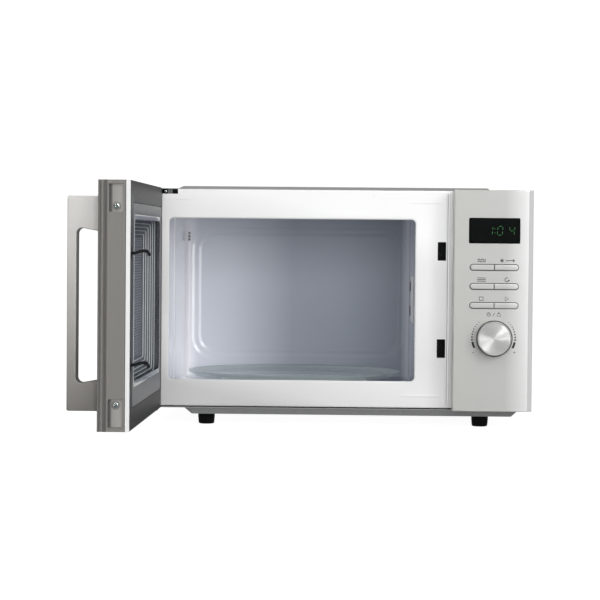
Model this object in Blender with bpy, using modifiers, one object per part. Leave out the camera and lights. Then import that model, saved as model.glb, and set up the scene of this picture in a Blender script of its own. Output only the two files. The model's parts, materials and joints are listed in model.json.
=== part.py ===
"""Microwave oven with a hinged door, a turntable and its works, in metres, +Z up, front towards -Y.

Every piece is drawn in the body frame: x = 0 on the body's middle, y = 0 on the front plate's face and z = 0
on the worktop. One empty then moves the whole to the middle of its box, with the door standing open.
"""

import math

import bmesh
import bpy
from mathutils import Matrix, Vector

# ---- driving dimensions ----
BODY_WIDTH = 0.465
BODY_TOP = 0.286            # flat of the cabinet's top above the worktop
CABINET_DEPTH = 0.325       # front plate's face to the rear panel's outer face
PANEL_WIDTH = 0.0939        # control panel
FRONT_DEPTH = 0.0355        # how far door and panel stand in front of the plate
FRONT_BOTTOM = 0.0237       # lower edge of door and panel
DOOR_OPEN_DEG = 90.6        # how far the door stands open at rest
GAP = 0.0003                # between pieces that touch
EDGE_GAP = 0.0013           # between door and panel
SHEET = 0.001               # steel sheet

# front plate
PLATE_THICK = 0.001
PLATE_BOTTOM = 0.0245
PLATE_TOP_DROP = 0.0006     # below the cabinet's top
PLATE_SIDE_INSET = 0.001
PLATE_FLANGE = 0.012
FLANGE_INSET = 0.0022
PLATE_UNDER_PANEL = 0.010
OPENING_LEFT_MARGIN = 0.0309
OPENING_RIGHT_MARGIN = 0.0447
OPENING_BOTTOM = 0.0565
OPENING_TOP_MARGIN = 0.0358
OPENING_RADIUS = 0.005

# cavity
CAVITY_SIDE_STEP = 0.001    # cavity wall outside the opening's edge
CAVITY_TOP_STEP = 0.006
CAVITY_FLOOR = 0.041
CAVITY_REAR_SPACE = 0.025   # behind the cavity's rear wall
CAVITY_EDGE = 0.008
STAMP_LEFT_MARGIN = 0.0075
STAMP_RIGHT_MARGIN = 0.0035
STAMP_TOP_MARGIN = 0.014
STAMP_BOTTOM_MARGIN = 0.024
STAMP_RADIUS = 0.032
STAMP_DEPTH = 0.004
STAMP_SLOPE = 0.0125

# cabinet, base and rear
CABINET_BOTTOM = 0.022
CABINET_EDGE = 0.004        # round top edges
EMBOSS_HEIGHT = 0.0035
EMBOSS_LEFT_MARGIN = 0.0366
EMBOSS_RIGHT_MARGIN = 0.0452
EMBOSS_FRONT = 0.028
EMBOSS_REAR_MARGIN = 0.030
EMBOSS_SLOPE = 0.009
BASE_BOTTOM = 0.0137
BULGE_LEFT_MARGIN = 0.0484
BULGE_RIGHT_MARGIN = 0.0115
BULGE_SLOPE = 0.0098
BULGE_FRONT = 0.008
FOOT_RADIUS = 0.0105
FOOT_TAPER = 0.0012
FOOT_LEFT_INSET = 0.0745
FOOT_RIGHT_INSET = 0.057
FOOT_FRONT = 0.045
FOOT_REAR_INSET = 0.050
VENT_LENGTH = 0.030
VENT_HEIGHT = 0.004
VENT_PITCH = 0.009
SIDE_VENT_ROWS = 8
SIDE_VENT_START = (0.060, 0.100)  # front end and bottom of the lowest vent
SIDE_VENT_GAP = 0.010
REAR_VENT_ROWS = 9
REAR_VENT_GAP = 0.008

# door
DOOR_SEAT_GAP = 0.0015
COVER_THICK = 0.0047
COVER_START = 0.0085        # door cover's hinge edge past the pin
HINGE_INSET_X = 0.0117
HINGE_Y = -0.014
DOOR_SKIN = 0.0025
DOOR_COLUMN = 0.0275        # solid hinge side of the door
DOOR_FREE_WALL = 0.007
DOOR_CORNER = 0.003
WINDOW_HINGE_MARGIN = 0.055
WINDOW_FREE_MARGIN = 0.085
WINDOW_TOP_MARGIN = 0.050
WINDOW_BOTTOM_MARGIN = 0.050
WINDOW_RADIUS = 0.008
PANE_LAP = 0.008
PANE_THICK = 0.0032
SCREEN_Y = -0.0125
SCREEN_RIM = 0.0055
SCREEN_FREE_MARGIN = 0.027
FILM_HINGE_MARGIN = 0.0297
FILM_FREE_MARGIN = 0.030
FILM_TOP_MARGIN = 0.0234
FILM_BOTTOM_MARGIN = 0.0233
FILM_THICK = 0.001
FILM_RADIUS = 0.009
FILM_LAP = 0.006
POCKET_DEPTH = 0.004
POCKET_END = 0.0040         # from the door's end to the pocket
POCKET_LENGTH = 0.0295
POCKET_FRONT = 0.011        # from the door's face to the pocket
PIN_RADIUS = 0.003
PIN_CLEARANCE = 0.0004
PIN_ENGAGE = 0.014
TAB_HALF_WIDTH = 0.0075
TAB_THICK = 0.0025
TAB_DROP = 0.0030           # upper tab's top face below the cabinet's top
LOWER_TAB_GAP = 0.0017
NOTCH_RADIUS = 0.0175
NOTCH_DROP = 0.0067
NOTCH_RIGHT = 0.041         # right end of the plate's notch from the body's left side
HINGE_FLANGE_LENGTH = 0.034
HINGE_SHEET = 0.002

# handle
HANDLE_STAND = 0.0345
HANDLE_GRIP = 0.0097
HANDLE_WIDTH = 0.024
HANDLE_FREE_INSET = 0.0203  # from the door's free edge to the handle's near side
HANDLE_BOTTOM = 0.0438
HANDLE_TOP_MARGIN = 0.0166
HANDLE_HOLE_BOTTOM = 0.0292
HANDLE_HOLE_TOP = 0.0336
HANDLE_LEG_SLOPE = 0.0035
HANDLE_INNER_RADIUS = 0.006
HANDLE_OUTER_RADIUS = 0.0015

# latch
SLOT_PANEL_MARGIN = 0.0079
SLOT_WIDTH = 0.010
SLOT_HEIGHT = 0.0223
SLOT_BOTTOMS = (0.0851, 0.2017)
HOOK_WIDTH = 0.005
HOOK_REACH = 0.0215         # behind the plate's face with the door shut
HOOK_LIFT = 0.004
HOOK_NOSE = 0.014
HOOK_NOSE_DEPTH = 0.007
HOOK_ARM = 0.008
HOOK_SEAT = 0.0014          # hook above the slot's lower edge
HOOK_SIDE_SHIFT = -0.001
SLIDER_THICK = 0.006
SLIDER_Y = -0.024
SLIDER_END = 0.010
SPRING_RADIUS = 0.0028
SPRING_WIRE = 0.0005
SPRING_LENGTH = 0.018
SPRING_TURNS = 6
HOUSING_SIDE = 0.013        # housing's half width
HOUSING_DEPTH = 0.0245
HOUSING_WALL = 0.002
HOUSING_END = 0.013
SWITCH_LENGTH = 0.0278
SWITCH_DEPTH = 0.0159
SWITCH_THICK = 0.0103
PLUNGER_RADIUS = 0.0016
PLUNGER_TRAVEL = 0.0015

# control panel
PANEL_WALL = 0.0022
PANEL_EDGE = 0.0054
DISPLAY_RADIUS = 0.0012
MODULE_HALF_WIDTH = 0.024
MODULE_INSET = 0.005         # display module's ends inside the window's
BOARD_LEFT_MARGIN = 0.008
BOARD_RIGHT_MARGIN = 0.012
BOARD_BELOW_KNOB = 0.030
BOARD_ABOVE_DISPLAY = 0.004
TACT_HALF = 0.003
STEM_HALF = 0.002
ENCODER_HALF = 0.006
ENCODER_DEPTH = 0.0095
SHAFT_TAIL = 0.0062          # shaft's end in front of the board
DISPLAY_WIDTH = 0.0602
DISPLAY_HEIGHT = 0.0298
DISPLAY_TOP_MARGIN = 0.0332
FEATURE_SHIFT = 0.0008      # panel features right of the panel's middle
BUTTON_ROW_WIDTH = 0.0582
BUTTON_HEIGHT = 0.0072
BUTTON_SPLIT = 0.0010
BUTTON_TOP_MARGIN = 0.0915  # from the cabinet's top to the middle of the first row
BUTTON_PITCH = 0.02255
BUTTON_PROUD = 0.0009
BUTTON_TRAVEL = 0.0012
BUTTON_DEPTH = 0.0075
BUTTON_CLEARANCE = 0.0004
KNOB_RADIUS = 0.02125
KNOB_DEPTH = 0.0200
KNOB_DROP = 0.1749
KNOB_STANDOFF = 0.0006
SHAFT_RADIUS = 0.003
SHAFT_CLEARANCE = 0.0012     # in the panel
SHAFT_IN_KNOB = 0.012
BOARD_SETBACK = 0.0200      # board's front face behind the panel's face
BOARD_THICK = 0.0016

# turntable
TRAY_CLEARANCE = 0.015
TRAY_GLASS = 0.0034
TRAY_RIM = 0.0079
TRAY_FLAT_STEP = 0.012
ROLLER_RADIUS = 0.0055
ROLLER_WIDTH = 0.007
ROLLER_COUNT = 3
RING_RADIUS = 0.092
RING_WIDTH = 0.008
RING_HEIGHT = 0.0055
AXLE_RADIUS = 0.0012
COUPLER_ARM = 0.015
COUPLER_ARM_WIDTH = 0.007
COUPLER_HEIGHT = 0.0055
COUPLER_SHAFT = 0.0035
LUG_DEPTH = 0.004
LUG_START = 0.0085           # tray's driving lugs, from the axis
LUG_END = 0.013
LUG_WIDTH = 0.004
LUG_COUNT = 3
LUG_TURN_DEG = 60.0
MOTOR_RADIUS = 0.0245
MOTOR_HEIGHT = 0.0135
MOTOR_DROP = 0.0015          # below the cavity's floor
MOTOR_EAR = 0.010
MOTOR_EAR_HALF = 0.007

# works in the right-hand compartment
GUIDE_FRONT = 0.098
GUIDE_LENGTH = 0.085
GUIDE_BOTTOM = 0.122
GUIDE_HEIGHT = 0.060
GUIDE_DEPTH = 0.030
COVER_PLATE_MARGIN = 0.006
MICA_THICK = 0.0009
ANTENNA_HOLE = 0.011
ANTENNA_RADIUS = 0.009
ANTENNA_REACH = 0.012
MAGNETRON_LENGTH = 0.070
MAGNETRON_WIDTH = 0.062
MAGNETRON_HEIGHT = 0.080
FIN_COUNT = 7
TRANSFORMER_SIZE = (0.086, 0.075, 0.066)
TRANSFORMER_WINDING = 0.014  # winding's overhang at each end of the core
TRANSFORMER_GAP = 0.013      # to the capacitor behind it
CAPACITOR_SIZE = (0.034, 0.052, 0.090)
CAPACITOR_REAR_INSET = 0.103
CUTOUT_REAR_INSET = 0.093
CUTOUT_SIZE = (0.008, 0.009)  # radius and height
FILTER_REAR_INSET = 0.135
FILTER_LENGTH = 0.060
FILTER_HEIGHT = 0.016
LAMP_FRONT = 0.072
LAMP_DROP = 0.064            # lamp's axis below the cabinet's top
LAMP_RADIUS = 0.009
LAMP_LENGTH = 0.034
FAN_RADIUS = 0.048
FAN_HEIGHT = 0.205
SHROUD_DEPTH = 0.030
HUB_RADIUS = 0.011
BLADE_COUNT = 5
BLADE_TILT_DEG = 52.0
FAN_MOTOR_SIZE = (0.052, 0.026, 0.040)
GLAND_X_INSET = 0.040
GLAND_HEIGHT = 0.060
GLAND_RADIUS = 0.0065
GLAND_PROUD = 0.0135
CORD_HOLE = 0.0035

# ---- values that follow ----
LEFT = -BODY_WIDTH / 2
RIGHT = BODY_WIDTH / 2
PANEL_LEFT = RIGHT - PANEL_WIDTH
DOOR_FREE = PANEL_LEFT - EDGE_GAP
PLATE_TOP = BODY_TOP - PLATE_TOP_DROP
FRONT_TOP = BODY_TOP
OPENING_X0 = LEFT + OPENING_LEFT_MARGIN
OPENING_X1 = PANEL_LEFT - OPENING_RIGHT_MARGIN
OPENING_TOP = BODY_TOP - OPENING_TOP_MARGIN
CAVITY_X0 = OPENING_X0 - CAVITY_SIDE_STEP
CAVITY_X1 = OPENING_X1 + CAVITY_SIDE_STEP
CAVITY_TOP = OPENING_TOP + CAVITY_TOP_STEP
CAVITY_FRONT = PLATE_THICK + GAP
CAVITY_BACK = CABINET_DEPTH - CAVITY_REAR_SPACE
CABINET_SIDE = RIGHT - 0.0005
HINGE_X = LEFT + HINGE_INSET_X
TURN_X = (CAVITY_X0 + CAVITY_X1) / 2
TURN_Y = (CAVITY_FRONT + CAVITY_BACK) / 2
FEATURE_X = (PANEL_LEFT + RIGHT) / 2 + FEATURE_SHIFT
KNOB_Z = BODY_TOP - KNOB_DROP
SLOT_X1 = PANEL_LEFT - SLOT_PANEL_MARGIN
SLOT_X0 = SLOT_X1 - SLOT_WIDTH
HOOK_X = (SLOT_X0 + SLOT_X1) / 2 + HOOK_SIDE_SHIFT
WORKS_X0 = CAVITY_X1 + SHEET + GAP       # compartment beside the cavity
WORKS_X1 = CABINET_SIDE - SHEET - GAP
WORKS_MIDDLE = (WORKS_X0 + WORKS_X1) / 2
BASE_FLOOR = BASE_BOTTOM + SHEET         # top face of the pan's bulge
FRAME_BACK = -DOOR_SEAT_GAP - COVER_THICK - GAP
ROLLER_Z = CAVITY_FLOOR + GAP + ROLLER_RADIUS
TRAY_BOTTOM = ROLLER_Z + ROLLER_RADIUS + GAP


def opened(x, y):
    """A point of the closed door, turned about the hinge to where the door stands open."""
    turn = math.radians(DOOR_OPEN_DEG)
    dx = x - HINGE_X
    dy = y - HINGE_Y
    return (
        HINGE_X + dx * math.cos(turn) + dy * math.sin(turn),
        HINGE_Y - dx * math.sin(turn) + dy * math.cos(turn),
    )


# ---- scene, groups and materials ----
for old in list(bpy.data.objects):
    bpy.data.objects.remove(old, do_unlink=True)

pieces = bpy.data.collections.new("microwave_oven")
tools = bpy.data.collections.new("cutters")
bpy.context.scene.collection.children.link(pieces)
bpy.context.scene.collection.children.link(tools)
bases = {}


def empty(name, at, parent=None):
    """A frame that pieces hang on, at a point of the body frame."""
    made = bpy.data.objects.new(name, None)
    pieces.objects.link(made)
    bases[name] = Vector(at)
    if parent is None:
        made.location = at
    else:
        made.parent = parent
        made.location = Vector(at) - bases[parent.name]
    return made


def finish(name, colour, roughness, metallic=0.0, alpha=1.0):
    """A Principled material, made once for each name."""
    found = bpy.data.materials.get(name)
    if found:
        return found
    made = bpy.data.materials.new(name)
    made.use_nodes = True
    shader = made.node_tree.nodes["Principled BSDF"]
    shader.inputs["Base Color"].default_value = (*colour, 1.0)
    shader.inputs["Roughness"].default_value = roughness
    shader.inputs["Metallic"].default_value = metallic
    shader.inputs["Alpha"].default_value = alpha
    made.diffuse_color = (*colour, alpha)
    return made


def materials():
    """The object's finishes by name."""
    return {
        "enamel": finish("enamel_white", (0.82, 0.82, 0.83), 0.25),
        "cavity": finish("cavity_enamel", (0.55, 0.56, 0.62), 0.35),
        "cabinet": finish("cabinet_grey", (0.30, 0.30, 0.31), 0.5),
        "zinc": finish("zinc_steel", (0.55, 0.56, 0.58), 0.4, 1.0),
        "silver": finish("silver_moulding", (0.56, 0.56, 0.54), 0.38, 0.6),
        "door": finish("door_moulding", (0.31, 0.30, 0.28), 0.42, 0.3),
        "cover": finish("cover_moulding", (0.72, 0.72, 0.70), 0.35),
        "film": finish("window_film", (0.30, 0.30, 0.31), 0.08, 0.0, 0.35),
        "glass": finish("clear_glass", (0.75, 0.85, 0.84), 0.03, 0.0, 0.3),
        "screen": finish("screen_black", (0.03, 0.03, 0.035), 0.4, 0.5),
        "chrome": finish("handle_metal", (0.66, 0.65, 0.62), 0.22, 1.0),
        "rubber": finish("foot_rubber", (0.015, 0.015, 0.015), 0.8),
        "black": finish("black_plastic", (0.02, 0.02, 0.022), 0.45),
        "display": finish("display_black", (0.01, 0.012, 0.012), 0.1),
        "board": finish("circuit_board", (0.05, 0.22, 0.09), 0.55),
        "steel": finish("spring_steel", (0.5, 0.5, 0.5), 0.3, 1.0),
        "core": finish("laminated_iron", (0.12, 0.12, 0.13), 0.6, 0.7),
        "mica": finish("mica_sheet", (0.62, 0.56, 0.44), 0.6),
        "white": finish("white_plastic", (0.75, 0.75, 0.72), 0.5),
        "aluminium": finish("aluminium", (0.7, 0.7, 0.72), 0.35, 1.0),
    }


centre_x = (opened(DOOR_FREE - HANDLE_FREE_INSET, -FRONT_DEPTH - HANDLE_STAND)[0] + RIGHT) / 2
centre_y = (opened(DOOR_FREE, -DOOR_SEAT_GAP)[1] + CABINET_DEPTH + GLAND_PROUD) / 2
whole = bpy.data.objects.new("assembly_centre", None)
pieces.objects.link(whole)
whole.location = (-centre_x, -centre_y, 0.0)
bases[whole.name] = Vector((0.0, 0.0, 0.0))

door_axis = empty("door_axis", (HINGE_X, HINGE_Y, 0.0), whole)
door_axis.rotation_euler = (0.0, 0.0, -math.radians(DOOR_OPEN_DEG))
turn_axis = empty("turntable_axis", (TURN_X, TURN_Y, CAVITY_FLOOR), whole)
paint = materials()


# ---- shapes ----
def box(bm, x, y, z):
    """A box between pairs of x, y and z; gives its points."""
    made = bmesh.ops.create_cube(bm, size=1.0)["verts"]
    bmesh.ops.scale(bm, vec=(x[1] - x[0], y[1] - y[0], z[1] - z[0]), verts=made)
    bmesh.ops.translate(bm, vec=((x[0] + x[1]) / 2, (y[0] + y[1]) / 2, (z[0] + z[1]) / 2), verts=made)
    return made


def round_edges(bm, points, axis, radius, steps=3):
    """Rounds the edges of a box that run along one axis."""
    along = []
    for edge in {e for p in points for e in p.link_edges}:
        run = edge.verts[1].co - edge.verts[0].co
        if abs(run[axis]) > 0.999 * run.length:
            along.append(edge)
    bmesh.ops.bevel(bm, geom=along, offset=radius, segments=steps, profile=0.5, affect="EDGES")


def round_box(bm, x, y, z, axis, radius, steps=3):
    """A box whose four edges along one axis are round."""
    round_edges(bm, box(bm, x, y, z), axis, radius, steps)


def rod(bm, start, end, radius, end_radius=None, sides=24):
    """A capped cylinder or cone from start to end; gives its points."""
    run = Vector(end) - Vector(start)
    made = bmesh.ops.create_cone(
        bm, cap_ends=True, segments=sides, radius1=radius,
        radius2=radius if end_radius is None else end_radius, depth=run.length,
    )["verts"]
    turn = Vector((0.0, 0.0, 1.0)).rotation_difference(run.normalized()).to_matrix()
    bmesh.ops.rotate(bm, matrix=turn, verts=made)
    bmesh.ops.translate(bm, vec=(Vector(start) + Vector(end)) / 2, verts=made)
    return made


def put(name, mesh, home, coll, group):
    """Links an object and hangs it on a group, with its mesh in the body frame."""
    made = bpy.data.objects.new(name, mesh)
    coll.objects.link(made)
    made.parent = group
    made.matrix_parent_inverse = Matrix.Translation(-bases[group.name])
    made.location = home
    return made


def smooth(mesh, angle=35.0):
    mesh.shade_smooth()
    mesh.set_sharp_from_angle(angle=math.radians(angle))


def piece(name, build, mat, group=None, home=(0.0, 0.0, 0.0)):
    """A named piece whose mesh is made by build(bm)."""
    bm = bmesh.new()
    build(bm)
    mesh = bpy.data.meshes.new(name)
    bm.to_mesh(mesh)
    bm.free()
    smooth(mesh)
    mesh.materials.append(paint[mat])
    return put(name, mesh, home, pieces, group or whole)


def shape_tool(target, operation, build, group=None):
    """A hidden solid that is cut from, or joined to, a piece."""
    name = f"{target.name}_{operation.lower()}_{len(target.modifiers)}"
    bm = bmesh.new()
    build(bm)
    mesh = bpy.data.meshes.new(name)
    bm.to_mesh(mesh)
    bm.free()
    made = put(name, mesh, (0.0, 0.0, 0.0), tools, group or target.parent)
    made.hide_render = True
    made.display_type = "WIRE"
    change = target.modifiers.new(name, "BOOLEAN")
    change.operation = operation
    change.solver = "EXACT"
    change.object = made
    return made


def cut(target, build):
    return shape_tool(target, "DIFFERENCE", build)


def join(target, build):
    return shape_tool(target, "UNION", build)


def turned(name, profile, mat, group, home, tilt=(0.0, 0.0, 0.0), steps=32):
    """A turned piece: a profile of (radius, height) run from top to bottom and spun about local Z."""
    mesh = bpy.data.meshes.new(name)
    mesh.from_pydata([(r, 0.0, h) for r, h in profile], [(i, i + 1) for i in range(len(profile) - 1)], [])
    mesh.materials.append(paint[mat])
    made = put(name, mesh, home, pieces, group)
    made.rotation_euler = tilt
    spin = made.modifiers.new("spin", "SCREW")
    spin.steps = steps
    spin.render_steps = steps
    spin.use_merge_vertices = True
    spin.merge_threshold = 0.00001
    spin.use_smooth_shade = True
    return made


def outline_mesh(name, points, height):
    """A flat outline of x and y, filled and extruded evenly about z = 0, as a welded mesh."""
    curve = bpy.data.curves.new(name, "CURVE")
    curve.dimensions = "2D"
    curve.fill_mode = "BOTH"
    curve.extrude = height / 2
    line = curve.splines.new("POLY")
    line.points.add(len(points) - 1)
    for spot, (x, y) in zip(line.points, points):
        spot.co = (x, y, 0.0, 1.0)
    line.use_cyclic_u = True
    holder = bpy.data.objects.new(name, curve)
    tools.objects.link(holder)
    bpy.context.view_layer.update()
    mesh = bpy.data.meshes.new_from_object(holder.evaluated_get(bpy.context.evaluated_depsgraph_get()))
    bpy.data.objects.remove(holder, do_unlink=True)
    bm = bmesh.new()
    bm.from_mesh(mesh)
    bmesh.ops.remove_doubles(bm, verts=bm.verts, dist=0.000005)
    bm.to_mesh(mesh)
    bm.free()
    return mesh


def outline_piece(name, points, height, mat, group, turn):
    """A piece from a flat outline, its mesh turned into place by a matrix."""
    mesh = outline_mesh(name, points, height)
    mesh.transform(turn)
    smooth(mesh)
    mesh.materials.append(paint[mat])
    return put(name, mesh, (0.0, 0.0, 0.0), pieces, group)


def arc(cx, cy, radius, start_deg, end_deg, steps):
    """Points on an arc, both ends included."""
    return [
        (
            cx + radius * math.cos(math.radians(start_deg + (end_deg - start_deg) * i / steps)),
            cy + radius * math.sin(math.radians(start_deg + (end_deg - start_deg) * i / steps)),
        )
        for i in range(steps + 1)
    ]


# ---- body ----
def opening(bm):
    """The front opening's rounded hole."""
    round_box(bm, (OPENING_X0, OPENING_X1), (-0.01, 0.02), (OPENING_BOTTOM, OPENING_TOP), 1, OPENING_RADIUS, 4)


def front_frame():
    right = PANEL_LEFT + PLATE_UNDER_PANEL
    inset = FLANGE_INSET

    def plate(bm):
        box(bm, (LEFT + PLATE_SIDE_INSET, right), (0.0, PLATE_THICK), (PLATE_BOTTOM, PLATE_TOP))

    def flange(bm):
        box(bm, (LEFT + inset, right - inset), (PLATE_THICK / 2, PLATE_FLANGE),
            (PLATE_BOTTOM + inset, PLATE_TOP - inset))

    def hollow(bm):
        box(bm, (LEFT + inset + SHEET, right - inset - SHEET),
            (PLATE_THICK, PLATE_FLANGE * 2), (PLATE_BOTTOM + inset + SHEET, PLATE_TOP - inset - SHEET))

    def holes(bm):
        opening(bm)
        for bottom in SLOT_BOTTOMS:
            box(bm, (SLOT_X0, SLOT_X1), (-0.01, 0.02), (bottom, bottom + SLOT_HEIGHT))

    def notch(bm):
        box(bm, (LEFT - 0.01, LEFT + NOTCH_RIGHT), (-0.01, PLATE_FLANGE * 2),
            (BODY_TOP - NOTCH_DROP, BODY_TOP + 0.01))

    def hinge_room(bm):
        reach = TAB_HALF_WIDTH + 0.0005
        box(bm, (HINGE_X - reach, HINGE_X + reach), (PLATE_THICK, PLATE_FLANGE * 2),
            (PLATE_BOTTOM - 0.01, PLATE_BOTTOM + 0.01))

    made = piece("front_frame", plate, "enamel")
    join(made, flange)
    cut(made, hollow)
    cut(made, holes)
    cut(made, notch)
    cut(made, hinge_room)


def oven_cavity():
    stamp_x = (CAVITY_X0 + STAMP_LEFT_MARGIN, CAVITY_X1 - STAMP_RIGHT_MARGIN)
    stamp_z = (CAVITY_FLOOR + STAMP_BOTTOM_MARGIN, CAVITY_TOP - STAMP_TOP_MARGIN)

    def shell(bm):
        box(bm, (CAVITY_X0, CAVITY_X1), (CAVITY_FRONT, CAVITY_BACK), (CAVITY_FLOOR, CAVITY_TOP))
        front = [f for f in bm.faces if f.normal.y < -0.9]
        bmesh.ops.delete(bm, geom=front, context="FACES")
        rear = [e for e in bm.edges if all(v.co.y > CAVITY_BACK - 0.001 for v in e.verts)]
        sides = [e for e in bm.edges if abs(e.verts[0].co.y - e.verts[1].co.y) > 0.01]
        bmesh.ops.bevel(bm, geom=rear + sides, offset=CAVITY_EDGE, segments=3, profile=0.5, affect="EDGES")

    def stamp_block(bm, grow, reach):
        points = box(bm, (stamp_x[0] + STAMP_SLOPE - grow, stamp_x[1] - STAMP_SLOPE + grow),
                     (CAVITY_BACK - 0.004, CAVITY_BACK + reach),
                     (stamp_z[0] + STAMP_SLOPE - grow, stamp_z[1] - STAMP_SLOPE + grow))
        round_edges(bm, points, 1, STAMP_RADIUS - STAMP_SLOPE + grow, 5)

    made = piece("oven_cavity", shell, "cavity")
    wall = made.modifiers.new("wall", "SOLIDIFY")
    wall.thickness = SHEET
    wall.offset = 1.0
    wall.use_even_offset = True
    join(made, lambda bm: stamp_block(bm, SHEET, STAMP_DEPTH + SHEET))
    cut(made, lambda bm: stamp_block(bm, 0.0, STAMP_DEPTH))

    def holes(bm):
        rod(bm, (TURN_X, TURN_Y, CAVITY_FLOOR - 0.01), (TURN_X, TURN_Y, CAVITY_FLOOR + 0.01),
            COUPLER_SHAFT + 0.002, sides=16)
        box(bm, (CAVITY_X1 - 0.01, CAVITY_X1 + 0.01),
            (GUIDE_FRONT + COVER_PLATE_MARGIN, GUIDE_FRONT + GUIDE_LENGTH - COVER_PLATE_MARGIN),
            (GUIDE_BOTTOM + COVER_PLATE_MARGIN, GUIDE_BOTTOM + GUIDE_HEIGHT - COVER_PLATE_MARGIN))

    cut(made, holes)


def sloped_block(bm, x, y, z, slope, narrow_top):
    """A block whose upper or lower end is smaller all round by slope."""
    points = box(bm, x, y, z)
    level = z[1] if narrow_top else z[0]
    middle = ((x[0] + x[1]) / 2, (y[0] + y[1]) / 2)
    for point in points:
        if abs(point.co.z - level) < 1e-6:
            point.co.x -= math.copysign(slope, point.co.x - middle[0])
            point.co.y -= math.copysign(slope, point.co.y - middle[1])
    return points


def outer_cabinet():
    emboss_x = (LEFT + EMBOSS_LEFT_MARGIN, RIGHT - EMBOSS_RIGHT_MARGIN + EMBOSS_SLOPE)
    emboss_y = (EMBOSS_FRONT, CABINET_DEPTH - EMBOSS_REAR_MARGIN)
    front = PLATE_THICK + GAP

    def shell(bm):
        box(bm, (-CABINET_SIDE, CABINET_SIDE), (front, CABINET_DEPTH), (CABINET_BOTTOM, BODY_TOP))
        gone = [f for f in bm.faces if abs(f.normal.y) > 0.9 or f.normal.z < -0.9]
        bmesh.ops.delete(bm, geom=gone, context="FACES")
        top = [e for e in bm.edges if all(v.co.z > BODY_TOP - 1e-6 for v in e.verts)
               and abs(e.verts[0].co.y - e.verts[1].co.y) > 0.01]
        bmesh.ops.bevel(bm, geom=top, offset=CABINET_EDGE, segments=3, profile=0.5, affect="EDGES")

    made = piece("outer_cabinet", shell, "cabinet")
    wall = made.modifiers.new("wall", "SOLIDIFY")
    wall.thickness = SHEET
    wall.offset = -1.0
    wall.use_even_offset = True
    join(made, lambda bm: sloped_block(
        bm, emboss_x, emboss_y, (BODY_TOP - SHEET / 2, BODY_TOP + EMBOSS_HEIGHT), EMBOSS_SLOPE, True))
    cut(made, lambda bm: sloped_block(
        bm, (emboss_x[0] + SHEET, emboss_x[1] - SHEET), (emboss_y[0] + SHEET, emboss_y[1] - SHEET),
        (BODY_TOP - SHEET * 2, BODY_TOP + EMBOSS_HEIGHT - SHEET), EMBOSS_SLOPE, True))

    def vents(bm):
        first, low = SIDE_VENT_START
        for row in range(SIDE_VENT_ROWS):
            z = low + row * VENT_PITCH
            for y in (first, first + VENT_LENGTH + SIDE_VENT_GAP):
                box(bm, (CABINET_SIDE - 0.01, CABINET_SIDE + 0.01), (y, y + VENT_LENGTH), (z, z + VENT_HEIGHT))

    cut(made, vents)


def base_plate():
    bulge_x = (LEFT + BULGE_LEFT_MARGIN, RIGHT - BULGE_RIGHT_MARGIN)
    bulge_y = (BULGE_FRONT, CABINET_DEPTH - BULGE_FRONT)
    side = CABINET_SIDE - SHEET - GAP
    rim = CABINET_BOTTOM

    def rim_plate(bm):
        box(bm, (-side, side), (PLATE_THICK + 0.004, CABINET_DEPTH - SHEET - GAP), (rim, rim + SHEET))

    made = piece("base_plate", rim_plate, "zinc")
    join(made, lambda bm: sloped_block(bm, bulge_x, bulge_y, (BASE_BOTTOM, rim + SHEET / 2), BULGE_SLOPE, False))
    cut(made, lambda bm: sloped_block(
        bm, (bulge_x[0] + SHEET, bulge_x[1] - SHEET), (bulge_y[0] + SHEET, bulge_y[1] - SHEET),
        (BASE_BOTTOM + SHEET, rim + SHEET * 3), BULGE_SLOPE, False))


def rear_panel():
    side = CABINET_SIDE - SHEET - GAP
    made = piece("rear_panel", lambda bm: round_box(
        bm, (-side, side), (CABINET_DEPTH - SHEET, CABINET_DEPTH),
        (CABINET_BOTTOM, BODY_TOP - SHEET - GAP), 1, CABINET_EDGE), "zinc")

    def holes(bm):
        rod(bm, (RIGHT - GLAND_X_INSET, CABINET_DEPTH - 0.01, GLAND_HEIGHT),
            (RIGHT - GLAND_X_INSET, CABINET_DEPTH + 0.01, GLAND_HEIGHT), GLAND_RADIUS + GAP, sides=16)
        for row in range(REAR_VENT_ROWS):
            z = FAN_HEIGHT - FAN_RADIUS + 0.010 + row * VENT_PITCH
            for x in (WORKS_MIDDLE - VENT_LENGTH - REAR_VENT_GAP / 2, WORKS_MIDDLE + REAR_VENT_GAP / 2):
                box(bm, (x, x + VENT_LENGTH), (CABINET_DEPTH - 0.01, CABINET_DEPTH + 0.01), (z, z + VENT_HEIGHT))

    cut(made, holes)


def feet():
    spots = {
        "foot_front_left": (LEFT + FOOT_LEFT_INSET, FOOT_FRONT),
        "foot_front_right": (RIGHT - FOOT_RIGHT_INSET, FOOT_FRONT),
        "foot_rear_left": (LEFT + FOOT_LEFT_INSET, CABINET_DEPTH - FOOT_REAR_INSET),
        "foot_rear_right": (RIGHT - FOOT_RIGHT_INSET, CABINET_DEPTH - FOOT_REAR_INSET),
    }
    top = BASE_BOTTOM - GAP
    profile = [(0.0, top), (FOOT_RADIUS, top), (FOOT_RADIUS - FOOT_TAPER, 0.001),
               (FOOT_RADIUS - FOOT_TAPER - 0.001, 0.0), (0.0, 0.0)]
    for name, (x, y) in spots.items():
        turned(name, profile, "rubber", whole, (x, y, 0.0), steps=20)


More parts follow.
